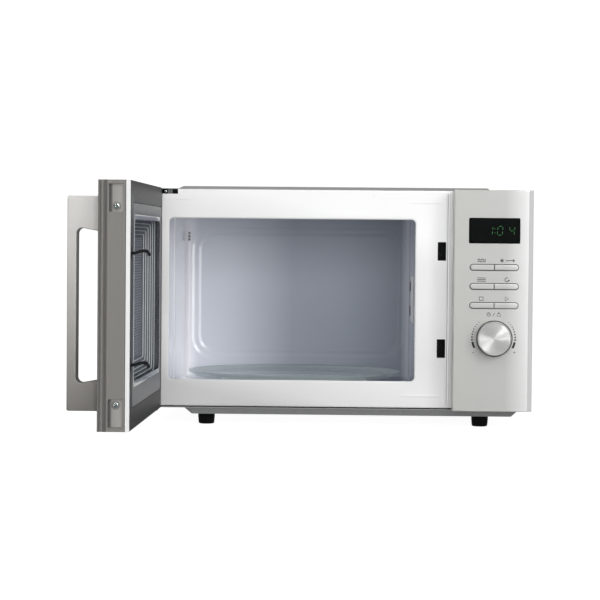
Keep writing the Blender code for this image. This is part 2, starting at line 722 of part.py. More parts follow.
# ---- hinges ----
def hinge(name, tab_z, flange_z, pin_z):
    tab_x = (HINGE_X - TAB_HALF_WIDTH, HINGE_X + TAB_HALF_WIDTH)
    tab_y = (HINGE_Y - TAB_HALF_WIDTH, PLATE_THICK + GAP + HINGE_SHEET)
    flange_y = (PLATE_THICK + GAP, PLATE_THICK + GAP + HINGE_SHEET)
    made = piece(name, lambda bm: box(bm, tab_x, tab_y, tab_z), "zinc")
    join(made, lambda bm: box(bm, (tab_x[0] + 0.001, tab_x[1] - 0.001), flange_y, flange_z))
    join(made, lambda bm: rod(bm, (HINGE_X, HINGE_Y, pin_z[0]), (HINGE_X, HINGE_Y, pin_z[1]), PIN_RADIUS, sides=20))


def hinges():
    top = BODY_TOP - TAB_DROP
    low = FRONT_BOTTOM - LOWER_TAB_GAP
    hinge("upper_hinge", (top - TAB_THICK, top), (top - HINGE_FLANGE_LENGTH, top - 0.001),
          (top - TAB_THICK - PIN_ENGAGE, top - 0.001))
    hinge("lower_hinge", (low - TAB_THICK, low), (low - 0.001, low + HINGE_FLANGE_LENGTH),
          (low - 0.001, low + PIN_ENGAGE))


# ---- door ----
def door_frame():
    reach = DOOR_FREE
    nose = HINGE_INSET_X
    points = [(reach, FRAME_BACK), (reach, -FRONT_DEPTH + DOOR_CORNER)]
    points += arc(reach - DOOR_CORNER, -FRONT_DEPTH + DOOR_CORNER, DOOR_CORNER, 0, -90, 3)[1:]
    points += arc(LEFT + DOOR_CORNER, -FRONT_DEPTH + DOOR_CORNER, DOOR_CORNER, -90, -180, 3)
    points += arc(HINGE_X, HINGE_Y, nose, 180, 90, 6)
    points += [(HINGE_X + COVER_START, HINGE_Y + nose), (HINGE_X + COVER_START, FRAME_BACK)]
    height = FRONT_TOP - FRONT_BOTTOM
    lift = Matrix.Translation((0.0, 0.0, FRONT_BOTTOM + height / 2))
    made = outline_piece("door_frame", points, height, "door", door_axis, lift)

    def hollow(bm):
        box(bm, (LEFT + DOOR_COLUMN, reach - DOOR_FREE_WALL), (-FRONT_DEPTH + DOOR_SKIN, 0.01),
            (FRONT_BOTTOM + DOOR_SKIN, FRONT_TOP - DOOR_SKIN))

    def window(bm):
        round_box(bm, (LEFT + WINDOW_HINGE_MARGIN, reach - WINDOW_FREE_MARGIN),
                  (-FRONT_DEPTH - 0.01, -FRONT_DEPTH + DOOR_SKIN + 0.005),
                  (FRONT_BOTTOM + WINDOW_BOTTOM_MARGIN, FRONT_TOP - WINDOW_TOP_MARGIN), 1, WINDOW_RADIUS, 4)

    def pockets(bm):
        for low in (FRONT_BOTTOM + POCKET_END, FRONT_TOP - POCKET_END - POCKET_LENGTH):
            box(bm, (reach - POCKET_DEPTH, reach + 0.01), (-FRONT_DEPTH + POCKET_FRONT, FRAME_BACK - 0.002),
                (low, low + POCKET_LENGTH))

    def hinge_room(bm):
        bore = PIN_RADIUS + PIN_CLEARANCE
        tab_low = BODY_TOP - TAB_DROP - TAB_THICK
        rod(bm, (HINGE_X, HINGE_Y, BODY_TOP - NOTCH_DROP), (HINGE_X, HINGE_Y, FRONT_TOP + 0.01),
            NOTCH_RADIUS, sides=32)
        rod(bm, (HINGE_X, HINGE_Y, FRONT_BOTTOM - 0.01), (HINGE_X, HINGE_Y, FRONT_BOTTOM + PIN_ENGAGE + 0.002),
            bore, sides=20)
        rod(bm, (HINGE_X, HINGE_Y, tab_low - PIN_ENGAGE - 0.002), (HINGE_X, HINGE_Y, BODY_TOP - NOTCH_DROP - 0.0005),
            bore, sides=20)

    cut(made, hollow)
    cut(made, window)
    cut(made, pockets)
    cut(made, hinge_room)
    cut(made, lambda bm: rod(
        bm, (HINGE_X, HINGE_Y, BODY_TOP - NOTCH_DROP - 0.002), (HINGE_X, HINGE_Y, BODY_TOP - NOTCH_DROP + 0.002),
        PIN_RADIUS + PIN_CLEARANCE, sides=20))
    spring_top = slider_top() + SPRING_LENGTH + 2 * GAP

    def spring_seat(bm):
        box(bm, (HOOK_X - 0.006, reach - DOOR_FREE_WALL / 2), (SLIDER_Y - 0.004, FRAME_BACK - 0.001),
            (spring_top, spring_top + 0.003))
        box(bm, (HOOK_X - 0.006, HOOK_X + 0.004), (-FRONT_DEPTH + DOOR_SKIN / 2, SLIDER_Y),
            (spring_top, spring_top + 0.003))

    join(made, spring_seat)


def slider_top():
    return SLOT_BOTTOMS[1] + SLOT_HEIGHT + SLIDER_END


def door_layers():
    window_x = (LEFT + WINDOW_HINGE_MARGIN, DOOR_FREE - WINDOW_FREE_MARGIN)
    window_z = (FRONT_BOTTOM + WINDOW_BOTTOM_MARGIN, FRONT_TOP - WINDOW_TOP_MARGIN)
    pane_y = -FRONT_DEPTH + DOOR_SKIN + GAP
    piece("door_glass", lambda bm: box(
        bm, (window_x[0] - PANE_LAP, window_x[1] + PANE_LAP), (pane_y, pane_y + PANE_THICK),
        (window_z[0] - PANE_LAP, window_z[1] + PANE_LAP)), "glass", door_axis)

    def tray(bm):
        box(bm, (LEFT + DOOR_COLUMN + 0.001, DOOR_FREE - SCREEN_FREE_MARGIN), (SCREEN_Y, SCREEN_Y + SCREEN_RIM),
            (FRONT_BOTTOM + DOOR_SKIN + 0.001, FRONT_TOP - DOOR_SKIN - 0.001))
        back = [f for f in bm.faces if f.normal.y > 0.9]
        bmesh.ops.delete(bm, geom=back, context="FACES")

    screen = piece("door_screen", tray, "screen", door_axis)
    wall = screen.modifiers.new("wall", "SOLIDIFY")
    wall.thickness = SHEET * 0.7
    wall.offset = -1.0
    wall.use_even_offset = True

    film_x = (LEFT + FILM_HINGE_MARGIN, DOOR_FREE - FILM_FREE_MARGIN)
    film_z = (FRONT_BOTTOM + FILM_BOTTOM_MARGIN, FRONT_TOP - FILM_TOP_MARGIN)
    film_y = -DOOR_SEAT_GAP - FILM_THICK
    piece("door_film", lambda bm: round_box(
        bm, film_x, (film_y, film_y + FILM_THICK - GAP / 2), film_z, 1, FILM_RADIUS, 4), "film", door_axis)

    cover_x = (HINGE_X + COVER_START + GAP, DOOR_FREE)
    cover_y = (-DOOR_SEAT_GAP - COVER_THICK, -DOOR_SEAT_GAP)
    cover = piece("door_cover", lambda bm: box(bm, cover_x, cover_y, (FRONT_BOTTOM, FRONT_TOP)), "cover", door_axis)

    def recess(bm):
        round_box(bm, (film_x[0] - GAP, film_x[1] + GAP), (film_y - GAP, 0.01),
                  (film_z[0] - GAP, film_z[1] + GAP), 1, FILM_RADIUS + GAP, 4)

    def through(bm):
        round_box(bm, (film_x[0] + FILM_LAP, film_x[1] - FILM_LAP), (-0.02, 0.01),
                  (film_z[0] + FILM_LAP, film_z[1] - FILM_LAP), 1, FILM_RADIUS, 4)
        for bottom in SLOT_BOTTOMS:
            box(bm, (HOOK_X - HOOK_WIDTH / 2 - 0.001, HOOK_X + HOOK_WIDTH / 2 + 0.001), (-0.02, 0.01),
                (bottom + HOOK_SEAT - 0.001, bottom + HOOK_SEAT + HOOK_NOSE + HOOK_LIFT + 0.001))

    cut(cover, recess)
    cut(cover, through)
    cut(cover, lambda bm: rod(bm, (HINGE_X, HINGE_Y, BODY_TOP - NOTCH_DROP), (HINGE_X, HINGE_Y, FRONT_TOP + 0.01),
                              NOTCH_RADIUS, sides=32))


def door_handle():
    """A bar on two legs: an outline in y and z, extruded along x, open against the door's face."""
    low = HANDLE_BOTTOM
    high = BODY_TOP - HANDLE_TOP_MARGIN
    seat = -FRONT_DEPTH - GAP
    front = -FRONT_DEPTH - HANDLE_STAND
    inner = front + HANDLE_GRIP
    hole = (low + HANDLE_HOLE_BOTTOM, high - HANDLE_HOLE_TOP)
    r = HANDLE_INNER_RADIUS
    edge = HANDLE_OUTER_RADIUS
    points = [(seat, low)]
    points += arc(front + edge, low + edge, edge, 270, 180, 2)
    points += arc(front + edge, high - edge, edge, 180, 90, 2)
    points += [(seat, high), (seat, hole[1] - HANDLE_LEG_SLOPE)]
    points += arc(inner + r, hole[1] - r, r, 90, 180, 4)
    points += arc(inner + r, hole[0] + r, r, 180, 270, 4)
    points += [(seat, hole[0] + HANDLE_LEG_SLOPE)]
    middle = DOOR_FREE - HANDLE_FREE_INSET - HANDLE_WIDTH / 2
    turn = Matrix((
        (0.0, 0.0, 1.0, middle),
        (1.0, 0.0, 0.0, 0.0),
        (0.0, 1.0, 0.0, 0.0),
        (0.0, 0.0, 0.0, 1.0),
    ))
    outline_piece("door_handle", points, HANDLE_WIDTH, "chrome", door_axis, turn)


def latch():
    x = (HOOK_X - HOOK_WIDTH / 2, HOOK_X + HOOK_WIDTH / 2)
    foot = SLOT_BOTTOMS[0] - SLIDER_END
    made = piece("latch_slider", lambda bm: box(
        bm, (HOOK_X - SLIDER_THICK / 2, HOOK_X + SLIDER_THICK / 2), (SLIDER_Y, SLIDER_Y + SLIDER_THICK),
        (foot, slider_top())), "black", door_axis)

    def hooks(bm):
        for bottom in SLOT_BOTTOMS:
            low = bottom + HOOK_SEAT
            box(bm, x, (SLIDER_Y + SLIDER_THICK / 2, HOOK_REACH - HOOK_NOSE_DEPTH / 2),
                (low + 0.003, low + 0.003 + HOOK_ARM))

    def noses(bm):
        for bottom in SLOT_BOTTOMS:
            low = bottom + HOOK_SEAT
            points = box(bm, x, (HOOK_REACH - HOOK_NOSE_DEPTH, HOOK_REACH), (low, low + HOOK_NOSE))
            for point in points:
                if point.co.y > HOOK_REACH - 1e-5 and point.co.z < low + 1e-5:
                    point.co.z += 0.0025

    join(made, hooks)
    join(made, noses)
    helix = bpy.data.curves.new("latch_spring", "CURVE")
    helix.dimensions = "3D"
    helix.bevel_depth = SPRING_WIRE
    helix.bevel_resolution = 2
    helix.use_fill_caps = True
    line = helix.splines.new("POLY")
    count = SPRING_TURNS * 10
    line.points.add(count)
    start = slider_top() + GAP + SPRING_WIRE * 1.2
    rise = SPRING_LENGTH - 2.4 * SPRING_WIRE
    for i, spot in enumerate(line.points):
        turn = 2 * math.pi * i / 10
        x = HOOK_X + SPRING_RADIUS * math.cos(turn)
        y = SLIDER_Y + SLIDER_THICK / 2 + SPRING_RADIUS * math.sin(turn)
        spot.co = (x, y, start + rise * i / count, 1.0)
    helix.materials.append(paint["steel"])
    put("latch_spring", helix, (0.0, 0.0, 0.0), pieces, door_axis)


def switches():
    """Latch housing behind the slots, its three switches and their plungers."""
    back = PLATE_THICK + HOUSING_DEPTH
    x = (HOOK_X - HOUSING_SIDE, HOOK_X + HOUSING_SIDE)
    z = (SLOT_BOTTOMS[0] - HOUSING_END, SLOT_BOTTOMS[1] + SLOT_HEIGHT + HOUSING_END)
    made = piece("latch_housing", lambda bm: box(
        bm, x, (PLATE_THICK + GAP, back), z), "black")
    cut(made, lambda bm: box(bm, (x[0] + HOUSING_WALL, x[1] - HOUSING_WALL), (-0.01, back - HOUSING_WALL),
                             (z[0] + HOUSING_WALL, z[1] - HOUSING_WALL)))
    low_tip = SLOT_BOTTOMS[0] + HOOK_SEAT
    high_tip = SLOT_BOTTOMS[1] + HOOK_SEAT
    half = SWITCH_THICK / 2 + GAP
    middle = low_tip + HOOK_NOSE / 2 + 0.0005
    heights = {"secondary": middle - half, "monitor": middle + half, "primary": high_tip + HOOK_NOSE / 2}
    bore = PLUNGER_RADIUS + 0.0003

    def plunger_holes(bm):
        for height in heights.values():
            rod(bm, (HOOK_X, back - 0.01, height), (HOOK_X, back + 0.01, height), bore + 0.0003, sides=12)

    cut(made, plunger_holes)
    body_y = (back + GAP, back + GAP + SWITCH_DEPTH)
    tip = HOOK_REACH + 0.0007
    tail = body_y[0] + 0.004
    for name, height in heights.items():
        body = piece(f"{name}_switch", lambda bm: box(
            bm, (HOOK_X - SWITCH_LENGTH / 2, HOOK_X + SWITCH_LENGTH / 2), body_y,
            (height - SWITCH_THICK / 2, height + SWITCH_THICK / 2)), "black")
        cut(body, lambda bm: rod(bm, (HOOK_X, body_y[0] - 0.01, height),
                                 (HOOK_X, tail + PLUNGER_TRAVEL + 0.0005, height), bore, sides=12))
        piece(f"{name}_plunger", lambda bm: rod(bm, (HOOK_X, tip, height), (HOOK_X, tail, height),
                                                PLUNGER_RADIUS, sides=12), "black")


# ---- control panel ----
BUTTONS = (("button_mode", "button_defrost"), ("button_menu", "button_reheat"), ("button_stop", "button_start"))


def button_places():
    """Each button's name, x range, middle height and rounded side."""
    left = FEATURE_X - BUTTON_ROW_WIDTH / 2
    right = FEATURE_X + BUTTON_ROW_WIDTH / 2
    for row, names in enumerate(BUTTONS):
        z = BODY_TOP - BUTTON_TOP_MARGIN - row * BUTTON_PITCH
        yield names[0], (left, FEATURE_X - BUTTON_SPLIT / 2), z, -1
        yield names[1], (FEATURE_X + BUTTON_SPLIT / 2, right), z, 1


def pill_half(bm, x, y, z, side, grow):
    """A block with both corners of one end round, as half of a long pill."""
    height = BUTTON_HEIGHT / 2 + grow
    points = box(bm, (x[0] - grow, x[1] + grow), y, (z - height, z + height))
    end = x[1] + grow if side > 0 else x[0] - grow
    run = [e for e in {e for p in points for e in p.link_edges}
           if all(abs(v.co.x - end) < 1e-6 for v in e.verts) and abs(e.verts[0].co.y - e.verts[1].co.y) > 1e-4]
    bmesh.ops.bevel(bm, geom=run, offset=height * 0.92, segments=4, profile=0.5, affect="EDGES")


def control_panel():
    face = -FRONT_DEPTH

    def block(bm):
        points = box(bm, (PANEL_LEFT, RIGHT), (face, -GAP), (FRONT_BOTTOM, FRONT_TOP))
        right = [e for e in bm.edges if all(v.co.x > RIGHT - 1e-6 and v.co.y < face + 1e-6 for v in e.verts)]
        bmesh.ops.bevel(bm, geom=right, offset=PANEL_EDGE, segments=3, profile=0.5, affect="EDGES")

    made = piece("control_panel", block, "silver")

    def hollow(bm):
        box(bm, (PANEL_LEFT + PANEL_WALL, RIGHT - PANEL_EDGE), (face + PANEL_WALL, 0.01),
            (FRONT_BOTTOM + PANEL_WALL, FRONT_TOP - PANEL_WALL))

    def holes(bm):
        top = BODY_TOP - DISPLAY_TOP_MARGIN
        half = DISPLAY_WIDTH / 2 + GAP
        round_box(bm, (FEATURE_X - half, FEATURE_X + half), (face - 0.01, face + 0.01),
                  (top - DISPLAY_HEIGHT - GAP, top + GAP), 1, DISPLAY_RADIUS + GAP, 2)
        for _, x, z, side in button_places():
            pill_half(bm, x, (face - 0.01, face + 0.01), z, side, BUTTON_CLEARANCE)
        rod(bm, (FEATURE_X, face - 0.01, KNOB_Z), (FEATURE_X, face + 0.01, KNOB_Z),
            SHAFT_RADIUS + SHAFT_CLEARANCE, sides=20)

    cut(made, hollow)
    cut(made, holes)


def display():
    top = BODY_TOP - DISPLAY_TOP_MARGIN
    face = -FRONT_DEPTH
    piece("display_window", lambda bm: round_box(
        bm, (FEATURE_X - DISPLAY_WIDTH / 2, FEATURE_X + DISPLAY_WIDTH / 2), (face + GAP, face + PANEL_WALL),
        (top - DISPLAY_HEIGHT, top), 1, DISPLAY_RADIUS, 2), "display")
    piece("display_module", lambda bm: box(
        bm, (FEATURE_X - MODULE_HALF_WIDTH, FEATURE_X + MODULE_HALF_WIDTH),
        (face + PANEL_WALL + 0.001, face + BOARD_SETBACK - GAP),
        (top - DISPLAY_HEIGHT + MODULE_INSET, top - MODULE_INSET)), "display")


def controls():
    face = -FRONT_DEPTH
    board = face + BOARD_SETBACK
    rear = face - BUTTON_PROUD + BUTTON_DEPTH
    made = piece("control_board", lambda bm: box(
        bm, (PANEL_LEFT + BOARD_LEFT_MARGIN, RIGHT - BOARD_RIGHT_MARGIN), (board, board + BOARD_THICK),
        (KNOB_Z - BOARD_BELOW_KNOB, BODY_TOP - DISPLAY_TOP_MARGIN + BOARD_ABOVE_DISPLAY)), "board")

    def tact_switches(bm):
        for _, x, z, _side in button_places():
            mid = (x[0] + x[1]) / 2
            box(bm, (mid - TACT_HALF, mid + TACT_HALF), (rear + BUTTON_TRAVEL + GAP, board + BOARD_THICK / 2),
                (z - TACT_HALF, z + TACT_HALF))

    join(made, tact_switches)
    for name, x, z, side in button_places():
        key = piece(name, lambda bm: pill_half(
            bm, x, (face - BUTTON_PROUD, face + PANEL_WALL + 0.0008), z, side, 0.0), "silver",
            empty(f"{name}_axis", ((x[0] + x[1]) / 2, face, z), whole))
        mid = (x[0] + x[1]) / 2
        join(key, lambda bm: box(bm, (mid - STEM_HALF, mid + STEM_HALF), (face, rear), (z - STEM_HALF, z + STEM_HALF)))

    back = face - KNOB_STANDOFF
    front = face - KNOB_DEPTH
    knob_axis = empty("knob_axis", (FEATURE_X, face, KNOB_Z), whole)
    depth = back - front
    flat = KNOB_RADIUS - 0.0022
    profile = [(0.0, depth - 0.0006), (flat - 0.0016, depth - 0.0006), (flat, depth),
               (KNOB_RADIUS - 0.0009, depth - 0.0008), (KNOB_RADIUS, depth - 0.0022), (KNOB_RADIUS, 0.0015),
               (KNOB_RADIUS - 0.0008, 0.0), (0.0, 0.0)]
    knob = turned("control_knob", profile, "chrome", knob_axis, (FEATURE_X, back, KNOB_Z),
                  (math.pi / 2, 0.0, 0.0), 40)
    inner = back - SHAFT_IN_KNOB
    cut(knob, lambda bm: rod(bm, (FEATURE_X, back + 0.01, KNOB_Z), (FEATURE_X, inner, KNOB_Z),
                             SHAFT_RADIUS + GAP, sides=20))
    shaft_tail = board - SHAFT_TAIL
    piece("encoder_shaft", lambda bm: rod(bm, (FEATURE_X, inner + GAP * 2, KNOB_Z), (FEATURE_X, shaft_tail, KNOB_Z),
                                          SHAFT_RADIUS, sides=20), "aluminium", knob_axis)
    body = piece("encoder_body", lambda bm: box(
        bm, (FEATURE_X - ENCODER_HALF, FEATURE_X + ENCODER_HALF), (board - ENCODER_DEPTH, board - GAP),
        (KNOB_Z - ENCODER_HALF, KNOB_Z + ENCODER_HALF)), "zinc")
    cut(body, lambda bm: rod(bm, (FEATURE_X, board - 0.02, KNOB_Z), (FEATURE_X, shaft_tail + GAP, KNOB_Z),
                             SHAFT_RADIUS + GAP, sides=20))


# ---- turntable ----
def turntable():
    radius = min(CAVITY_X1 - CAVITY_X0, CAVITY_BACK - CAVITY_FRONT) / 2 - TRAY_CLEARANCE
    flat = radius - TRAY_FLAT_STEP
    low = TRAY_BOTTOM
    glass = TRAY_GLASS
    profile = [(0.0, low + glass), (flat - 0.002, low + glass), (flat + 0.004, low + glass + 0.0012),
               (radius - 0.0016, low + TRAY_RIM - 0.0006), (radius - 0.0006, low + TRAY_RIM),
               (radius, low + TRAY_RIM - 0.0008), (radius - 0.0004, low + TRAY_RIM - 0.003),
               (flat + 0.004, low + 0.0008), (flat, low), (0.0, low)]
    home = (TURN_X, TURN_Y, 0.0)
    tray = turned("glass_tray", profile, "glass", turn_axis, home, steps=48)
    arm_top = low - GAP
    arm_low = arm_top - COUPLER_HEIGHT

    def spokes(bm, count, start, inner, outer, width, z):
        for i in range(count):
            points = box(bm, (inner, outer), (-width / 2, width / 2), z)
            spin = Matrix.Rotation(math.radians(start) + 2 * math.pi * i / count, 3, "Z")
            bmesh.ops.rotate(bm, matrix=spin, verts=points)
            bmesh.ops.translate(bm, vec=(TURN_X, TURN_Y, 0.0), verts=points)

    join(tray, lambda bm: spokes(
        bm, LUG_COUNT, LUG_TURN_DEG, LUG_START, LUG_END, LUG_WIDTH, (low - LUG_DEPTH, low + glass / 2)))
    coupler = piece("drive_coupler", lambda bm: rod(
        bm, (TURN_X, TURN_Y, CAVITY_FLOOR - SHEET - 0.0006), (TURN_X, TURN_Y, arm_top), COUPLER_SHAFT, sides=18),
        "white", turn_axis)

    for i in range(LUG_COUNT):
        def one_arm(bm, turn=i):
            points = box(bm, (0.0, COUPLER_ARM), (-COUPLER_ARM_WIDTH / 2, COUPLER_ARM_WIDTH / 2),
                         (arm_low, arm_top - 0.0001 * (turn + 1)))
            bmesh.ops.rotate(bm, matrix=Matrix.Rotation(2 * math.pi * turn / LUG_COUNT, 3, "Z"), verts=points)
            bmesh.ops.translate(bm, vec=(TURN_X, TURN_Y, 0.0), verts=points)
        join(coupler, one_arm)

    ring_z = (ROLLER_Z - RING_HEIGHT / 2, ROLLER_Z + RING_HEIGHT / 2)
    ring_axis = empty("roller_ring_axis", (TURN_X, TURN_Y, ROLLER_Z), whole)
    outer = RING_RADIUS
    inner = RING_RADIUS - RING_WIDTH
    ring_profile = [(inner, ring_z[1]), (outer, ring_z[1]), (outer, ring_z[0]), (inner, ring_z[0]),
                    (inner, ring_z[1])]
    ring = turned("roller_ring", ring_profile, "white", ring_axis, home, steps=48)
    for i in range(ROLLER_COUNT):
        angle = 2 * math.pi * i / ROLLER_COUNT + math.radians(30)
        way = Vector((math.cos(angle), math.sin(angle), 0.0))
        centre = Vector((TURN_X, TURN_Y, ROLLER_Z))
        start = centre + way * (outer - RING_WIDTH / 2)
        near = centre + way * (outer + GAP * 2)
        far = near + way * ROLLER_WIDTH
        join(ring, lambda bm: rod(bm, start, far + way * 0.0015, AXLE_RADIUS, sides=12))
        axis = empty(f"roller_{i + 1}_axis", (near + far) / 2, ring_axis)
        wheel = piece(f"tray_roller_{i + 1}", lambda bm: rod(bm, near, far, ROLLER_RADIUS, sides=20), "white", axis)
        cut(wheel, lambda bm: rod(bm, near - way * 0.01, far + way * 0.01, AXLE_RADIUS + GAP, sides=12))

    motor_top = CAVITY_FLOOR - SHEET - MOTOR_DROP
    motor = piece("turntable_motor", lambda bm: rod(
        bm, (TURN_X, TURN_Y, motor_top - MOTOR_HEIGHT), (TURN_X, TURN_Y, motor_top), MOTOR_RADIUS, sides=28), "zinc")
    join(motor, lambda bm: box(bm, (TURN_X - MOTOR_RADIUS - MOTOR_EAR, TURN_X + MOTOR_RADIUS + MOTOR_EAR),
                               (TURN_Y - MOTOR_EAR_HALF, TURN_Y + MOTOR_EAR_HALF),
                               (motor_top - SHEET * 2, motor_top - GAP)))


# ---- works ----
def microwave_source():
    x0 = CAVITY_X1 + SHEET + GAP
    y = (GUIDE_FRONT, GUIDE_FRONT + GUIDE_LENGTH)
    z = (GUIDE_BOTTOM, GUIDE_BOTTOM + GUIDE_HEIGHT)
    x1 = x0 + GUIDE_DEPTH
    guide = piece("waveguide", lambda bm: box(bm, (x0, x1), y, z), "zinc")
    cut(guide, lambda bm: box(bm, (x0 - 0.01, x1 - SHEET), (y[0] + SHEET, y[1] - SHEET), (z[0] + SHEET, z[1] - SHEET)))
    mid = ((y[0] + y[1]) / 2, (z[0] + z[1]) / 2)
    cut(guide, lambda bm: rod(bm, (x1 - 0.01, *mid), (x1 + 0.01, *mid), ANTENNA_HOLE, sides=20))
    piece("waveguide_cover", lambda bm: box(
        bm, (CAVITY_X1 - GAP - MICA_THICK, CAVITY_X1 - GAP), (y[0] + 0.001, y[1] - 0.001),
        (z[0] + 0.001, z[1] - 0.001)), "mica")
    start = x1 + GAP
    end = start + MAGNETRON_LENGTH
    half = MAGNETRON_WIDTH / 2
    tall = MAGNETRON_HEIGHT / 2

    magnetron = piece("magnetron", lambda bm: rod(
        bm, (start - ANTENNA_REACH, *mid), (end - 0.002, *mid), ANTENNA_RADIUS, sides=18), "core")

    def yoke(bm):
        box(bm, (start, start + 0.002), (mid[0] - half, mid[0] + half), (mid[1] - tall, mid[1] + tall))
        box(bm, (end - 0.014, end - 0.012), (mid[0] - half, mid[0] + half), (mid[1] - tall, mid[1] + tall))

    def yoke_sides(bm):
        for side in (-1, 1):
            edges = sorted((mid[1] + side * tall, mid[1] + side * (tall - 0.002)))
            box(bm, (start + 0.001, end - 0.0125), (mid[0] - half, mid[0] + half), edges)

    def fins(bm):
        for i in range(FIN_COUNT):
            at = start + 0.009 + i * (MAGNETRON_LENGTH - 0.032) / (FIN_COUNT - 1)
            box(bm, (at, at + 0.0012), (mid[0] - half + 0.003, mid[0] + half - 0.003),
                (mid[1] - tall + 0.010, mid[1] + tall - 0.010))

    join(magnetron, yoke)
    join(magnetron, yoke_sides)
    join(magnetron, fins)


def power_parts():
    floor = BASE_FLOOR + GAP
    w, d, h = TRANSFORMER_SIZE
    x = WORKS_X0 + 0.012
    cy = CABINET_DEPTH - CAPACITOR_REAR_INSET
    y = cy - TRANSFORMER_GAP - TRANSFORMER_WINDING - d
    core = piece("power_transformer", lambda bm: box(bm, (x, x + w), (y, y + d), (floor, floor + h * 0.92)), "core")
    join(core, lambda bm: round_box(
        bm, (x + 0.016, x + w - 0.016), (y - TRANSFORMER_WINDING, y + d + TRANSFORMER_WINDING),
        (floor + 0.012, floor + h - 0.012), 1, 0.006, 2))
    cw, cd, ch = CAPACITOR_SIZE
    cx = WORKS_X0 + 0.014
    piece("capacitor", lambda bm: round_box(
        bm, (cx, cx + cw), (cy, cy + cd), (floor + 0.0005, floor + ch), 2, cw * 0.45, 4), "aluminium")
    grip = GAP
    band = piece("capacitor_clamp", lambda bm: round_box(
        bm, (cx - grip - SHEET, cx + cw + grip + SHEET), (cy - grip - SHEET, cy + cd + grip + SHEET),
        (floor + 0.030, floor + 0.044), 2, cw * 0.45 + grip + SHEET, 4), "zinc")
    cut(band, lambda bm: round_box(
        bm, (cx - grip, cx + cw + grip), (cy - grip, cy + cd + grip),
        (floor + 0.020, floor + 0.054), 2, cw * 0.45 + grip, 4))
    dx = cx + cw + 0.022
    dy = cy + 0.020
    piece("high_voltage_diode", lambda bm: rod(
        bm, (dx, dy, floor + 0.040), (dx, dy + 0.026, floor + 0.040), 0.0045, sides=14), "black")


def fan():
    mid = (WORKS_MIDDLE, FAN_HEIGHT)
    back = CABINET_DEPTH - SHEET - GAP
    front = back - SHROUD_DEPTH
    half = (WORKS_X1 - WORKS_X0) / 2 - 0.008
    shroud = piece("fan_shroud", lambda bm: box(
        bm, (mid[0] - half, mid[0] + half), (front, back),
        (mid[1] - FAN_RADIUS - 0.008, mid[1] + FAN_RADIUS + 0.008)), "black")
    bore = min(FAN_RADIUS + 0.003, half - 0.003)
    cut(shroud, lambda bm: rod(bm, (mid[0], front - 0.01, mid[1]), (mid[0], back + 0.01, mid[1]), bore, sides=32))
    blade_r = bore - 0.003
    plane = (front + back) / 2

    def bar(bm):
        box(bm, (mid[0] - half + 0.001, mid[0] + half - 0.001), (front, front + 0.0025),
            (mid[1] - 0.007, mid[1] + 0.007))

    join(shroud, bar)
    cut(shroud, lambda bm: rod(bm, (mid[0], front - 0.01, mid[1]), (mid[0], front + 0.008, mid[1]), 0.003, sides=14))
    fan_axis = empty("fan_axis", (mid[0], plane, mid[1]), whole)
    blade = piece("fan_blade", lambda bm: rod(
        bm, (mid[0], plane - 0.006, mid[1]), (mid[0], plane + 0.008, mid[1]), HUB_RADIUS, sides=20), "black", fan_axis)
    for i in range(BLADE_COUNT):
        def one_blade(bm, turn=i):
            points = box(bm, (0.006, blade_r), (-0.001, 0.001), (-0.011, 0.011))
            bmesh.ops.rotate(bm, matrix=Matrix.Rotation(math.radians(BLADE_TILT_DEG), 3, "X"), verts=points)
            bmesh.ops.rotate(bm, matrix=Matrix.Rotation(2 * math.pi * turn / BLADE_COUNT, 3, "Y"), verts=points)
            bmesh.ops.translate(bm, vec=(mid[0], plane + 0.001, mid[1]), verts=points)
        join(blade, one_blade)
    join(blade, lambda bm: rod(bm, (mid[0], front - 0.006, mid[1]), (mid[0], plane, mid[1]), 0.002, sides=12))
    motor = piece("fan_motor", lambda bm: box(
        bm, (mid[0] - FAN_MOTOR_SIZE[0] / 2, mid[0] + FAN_MOTOR_SIZE[0] / 2),
        (front - FAN_MOTOR_SIZE[1], front - GAP),
        (mid[1] - FAN_MOTOR_SIZE[2] / 2, mid[1] + FAN_MOTOR_SIZE[2] / 2)), "core")
    cut(motor, lambda bm: rod(bm, (mid[0], front - 0.0065, mid[1]), (mid[0], front + 0.01, mid[1]), 0.0025, sides=14))


def small_works():
    z = BODY_TOP - LAMP_DROP
    lamp = piece("cavity_lamp", lambda bm: rod(
        bm, (WORKS_X0 + GAP, LAMP_FRONT, z), (WORKS_X0 + LAMP_LENGTH, LAMP_FRONT, z), LAMP_RADIUS, sides=18), "white")
    half = LAMP_RADIUS + 0.003
    join(lamp, lambda bm: box(bm, (WORKS_X0 + LAMP_LENGTH - 0.010, WORKS_X0 + LAMP_LENGTH + 0.006),
                              (LAMP_FRONT - half, LAMP_FRONT + half), (z - half, z + half)))
    y = CABINET_DEPTH - CUTOUT_REAR_INSET
    piece("thermal_cutout", lambda bm: rod(
        bm, (WORKS_X0, y, z), (WORKS_X0 + CUTOUT_SIZE[1], y, z), CUTOUT_SIZE[0], sides=18), "black")
    top = BODY_TOP - SHEET - 0.005
    rear = CABINET_DEPTH - FILTER_REAR_INSET
    piece("noise_filter", lambda bm: box(
        bm, (WORKS_X0 + 0.045, WORKS_X1 - 0.014), (rear, rear + FILTER_LENGTH), (top - FILTER_HEIGHT, top)), "board")
    x = RIGHT - GLAND_X_INSET
    back = CABINET_DEPTH
    z = GLAND_HEIGHT
    gland = piece("cord_gland", lambda bm: rod(
        bm, (x, back - 0.008, z), (x, back + GLAND_PROUD, z), GLAND_RADIUS, GLAND_RADIUS * 0.8, sides=20), "black")
    join(gland, lambda bm: rod(bm, (x, back + GAP, z), (x, back + 0.004, z), GLAND_RADIUS * 1.5, sides=20))
    cut(gland, lambda bm: rod(bm, (x, back - 0.02, z), (x, back + GLAND_PROUD + 0.01, z), CORD_HOLE, sides=14))


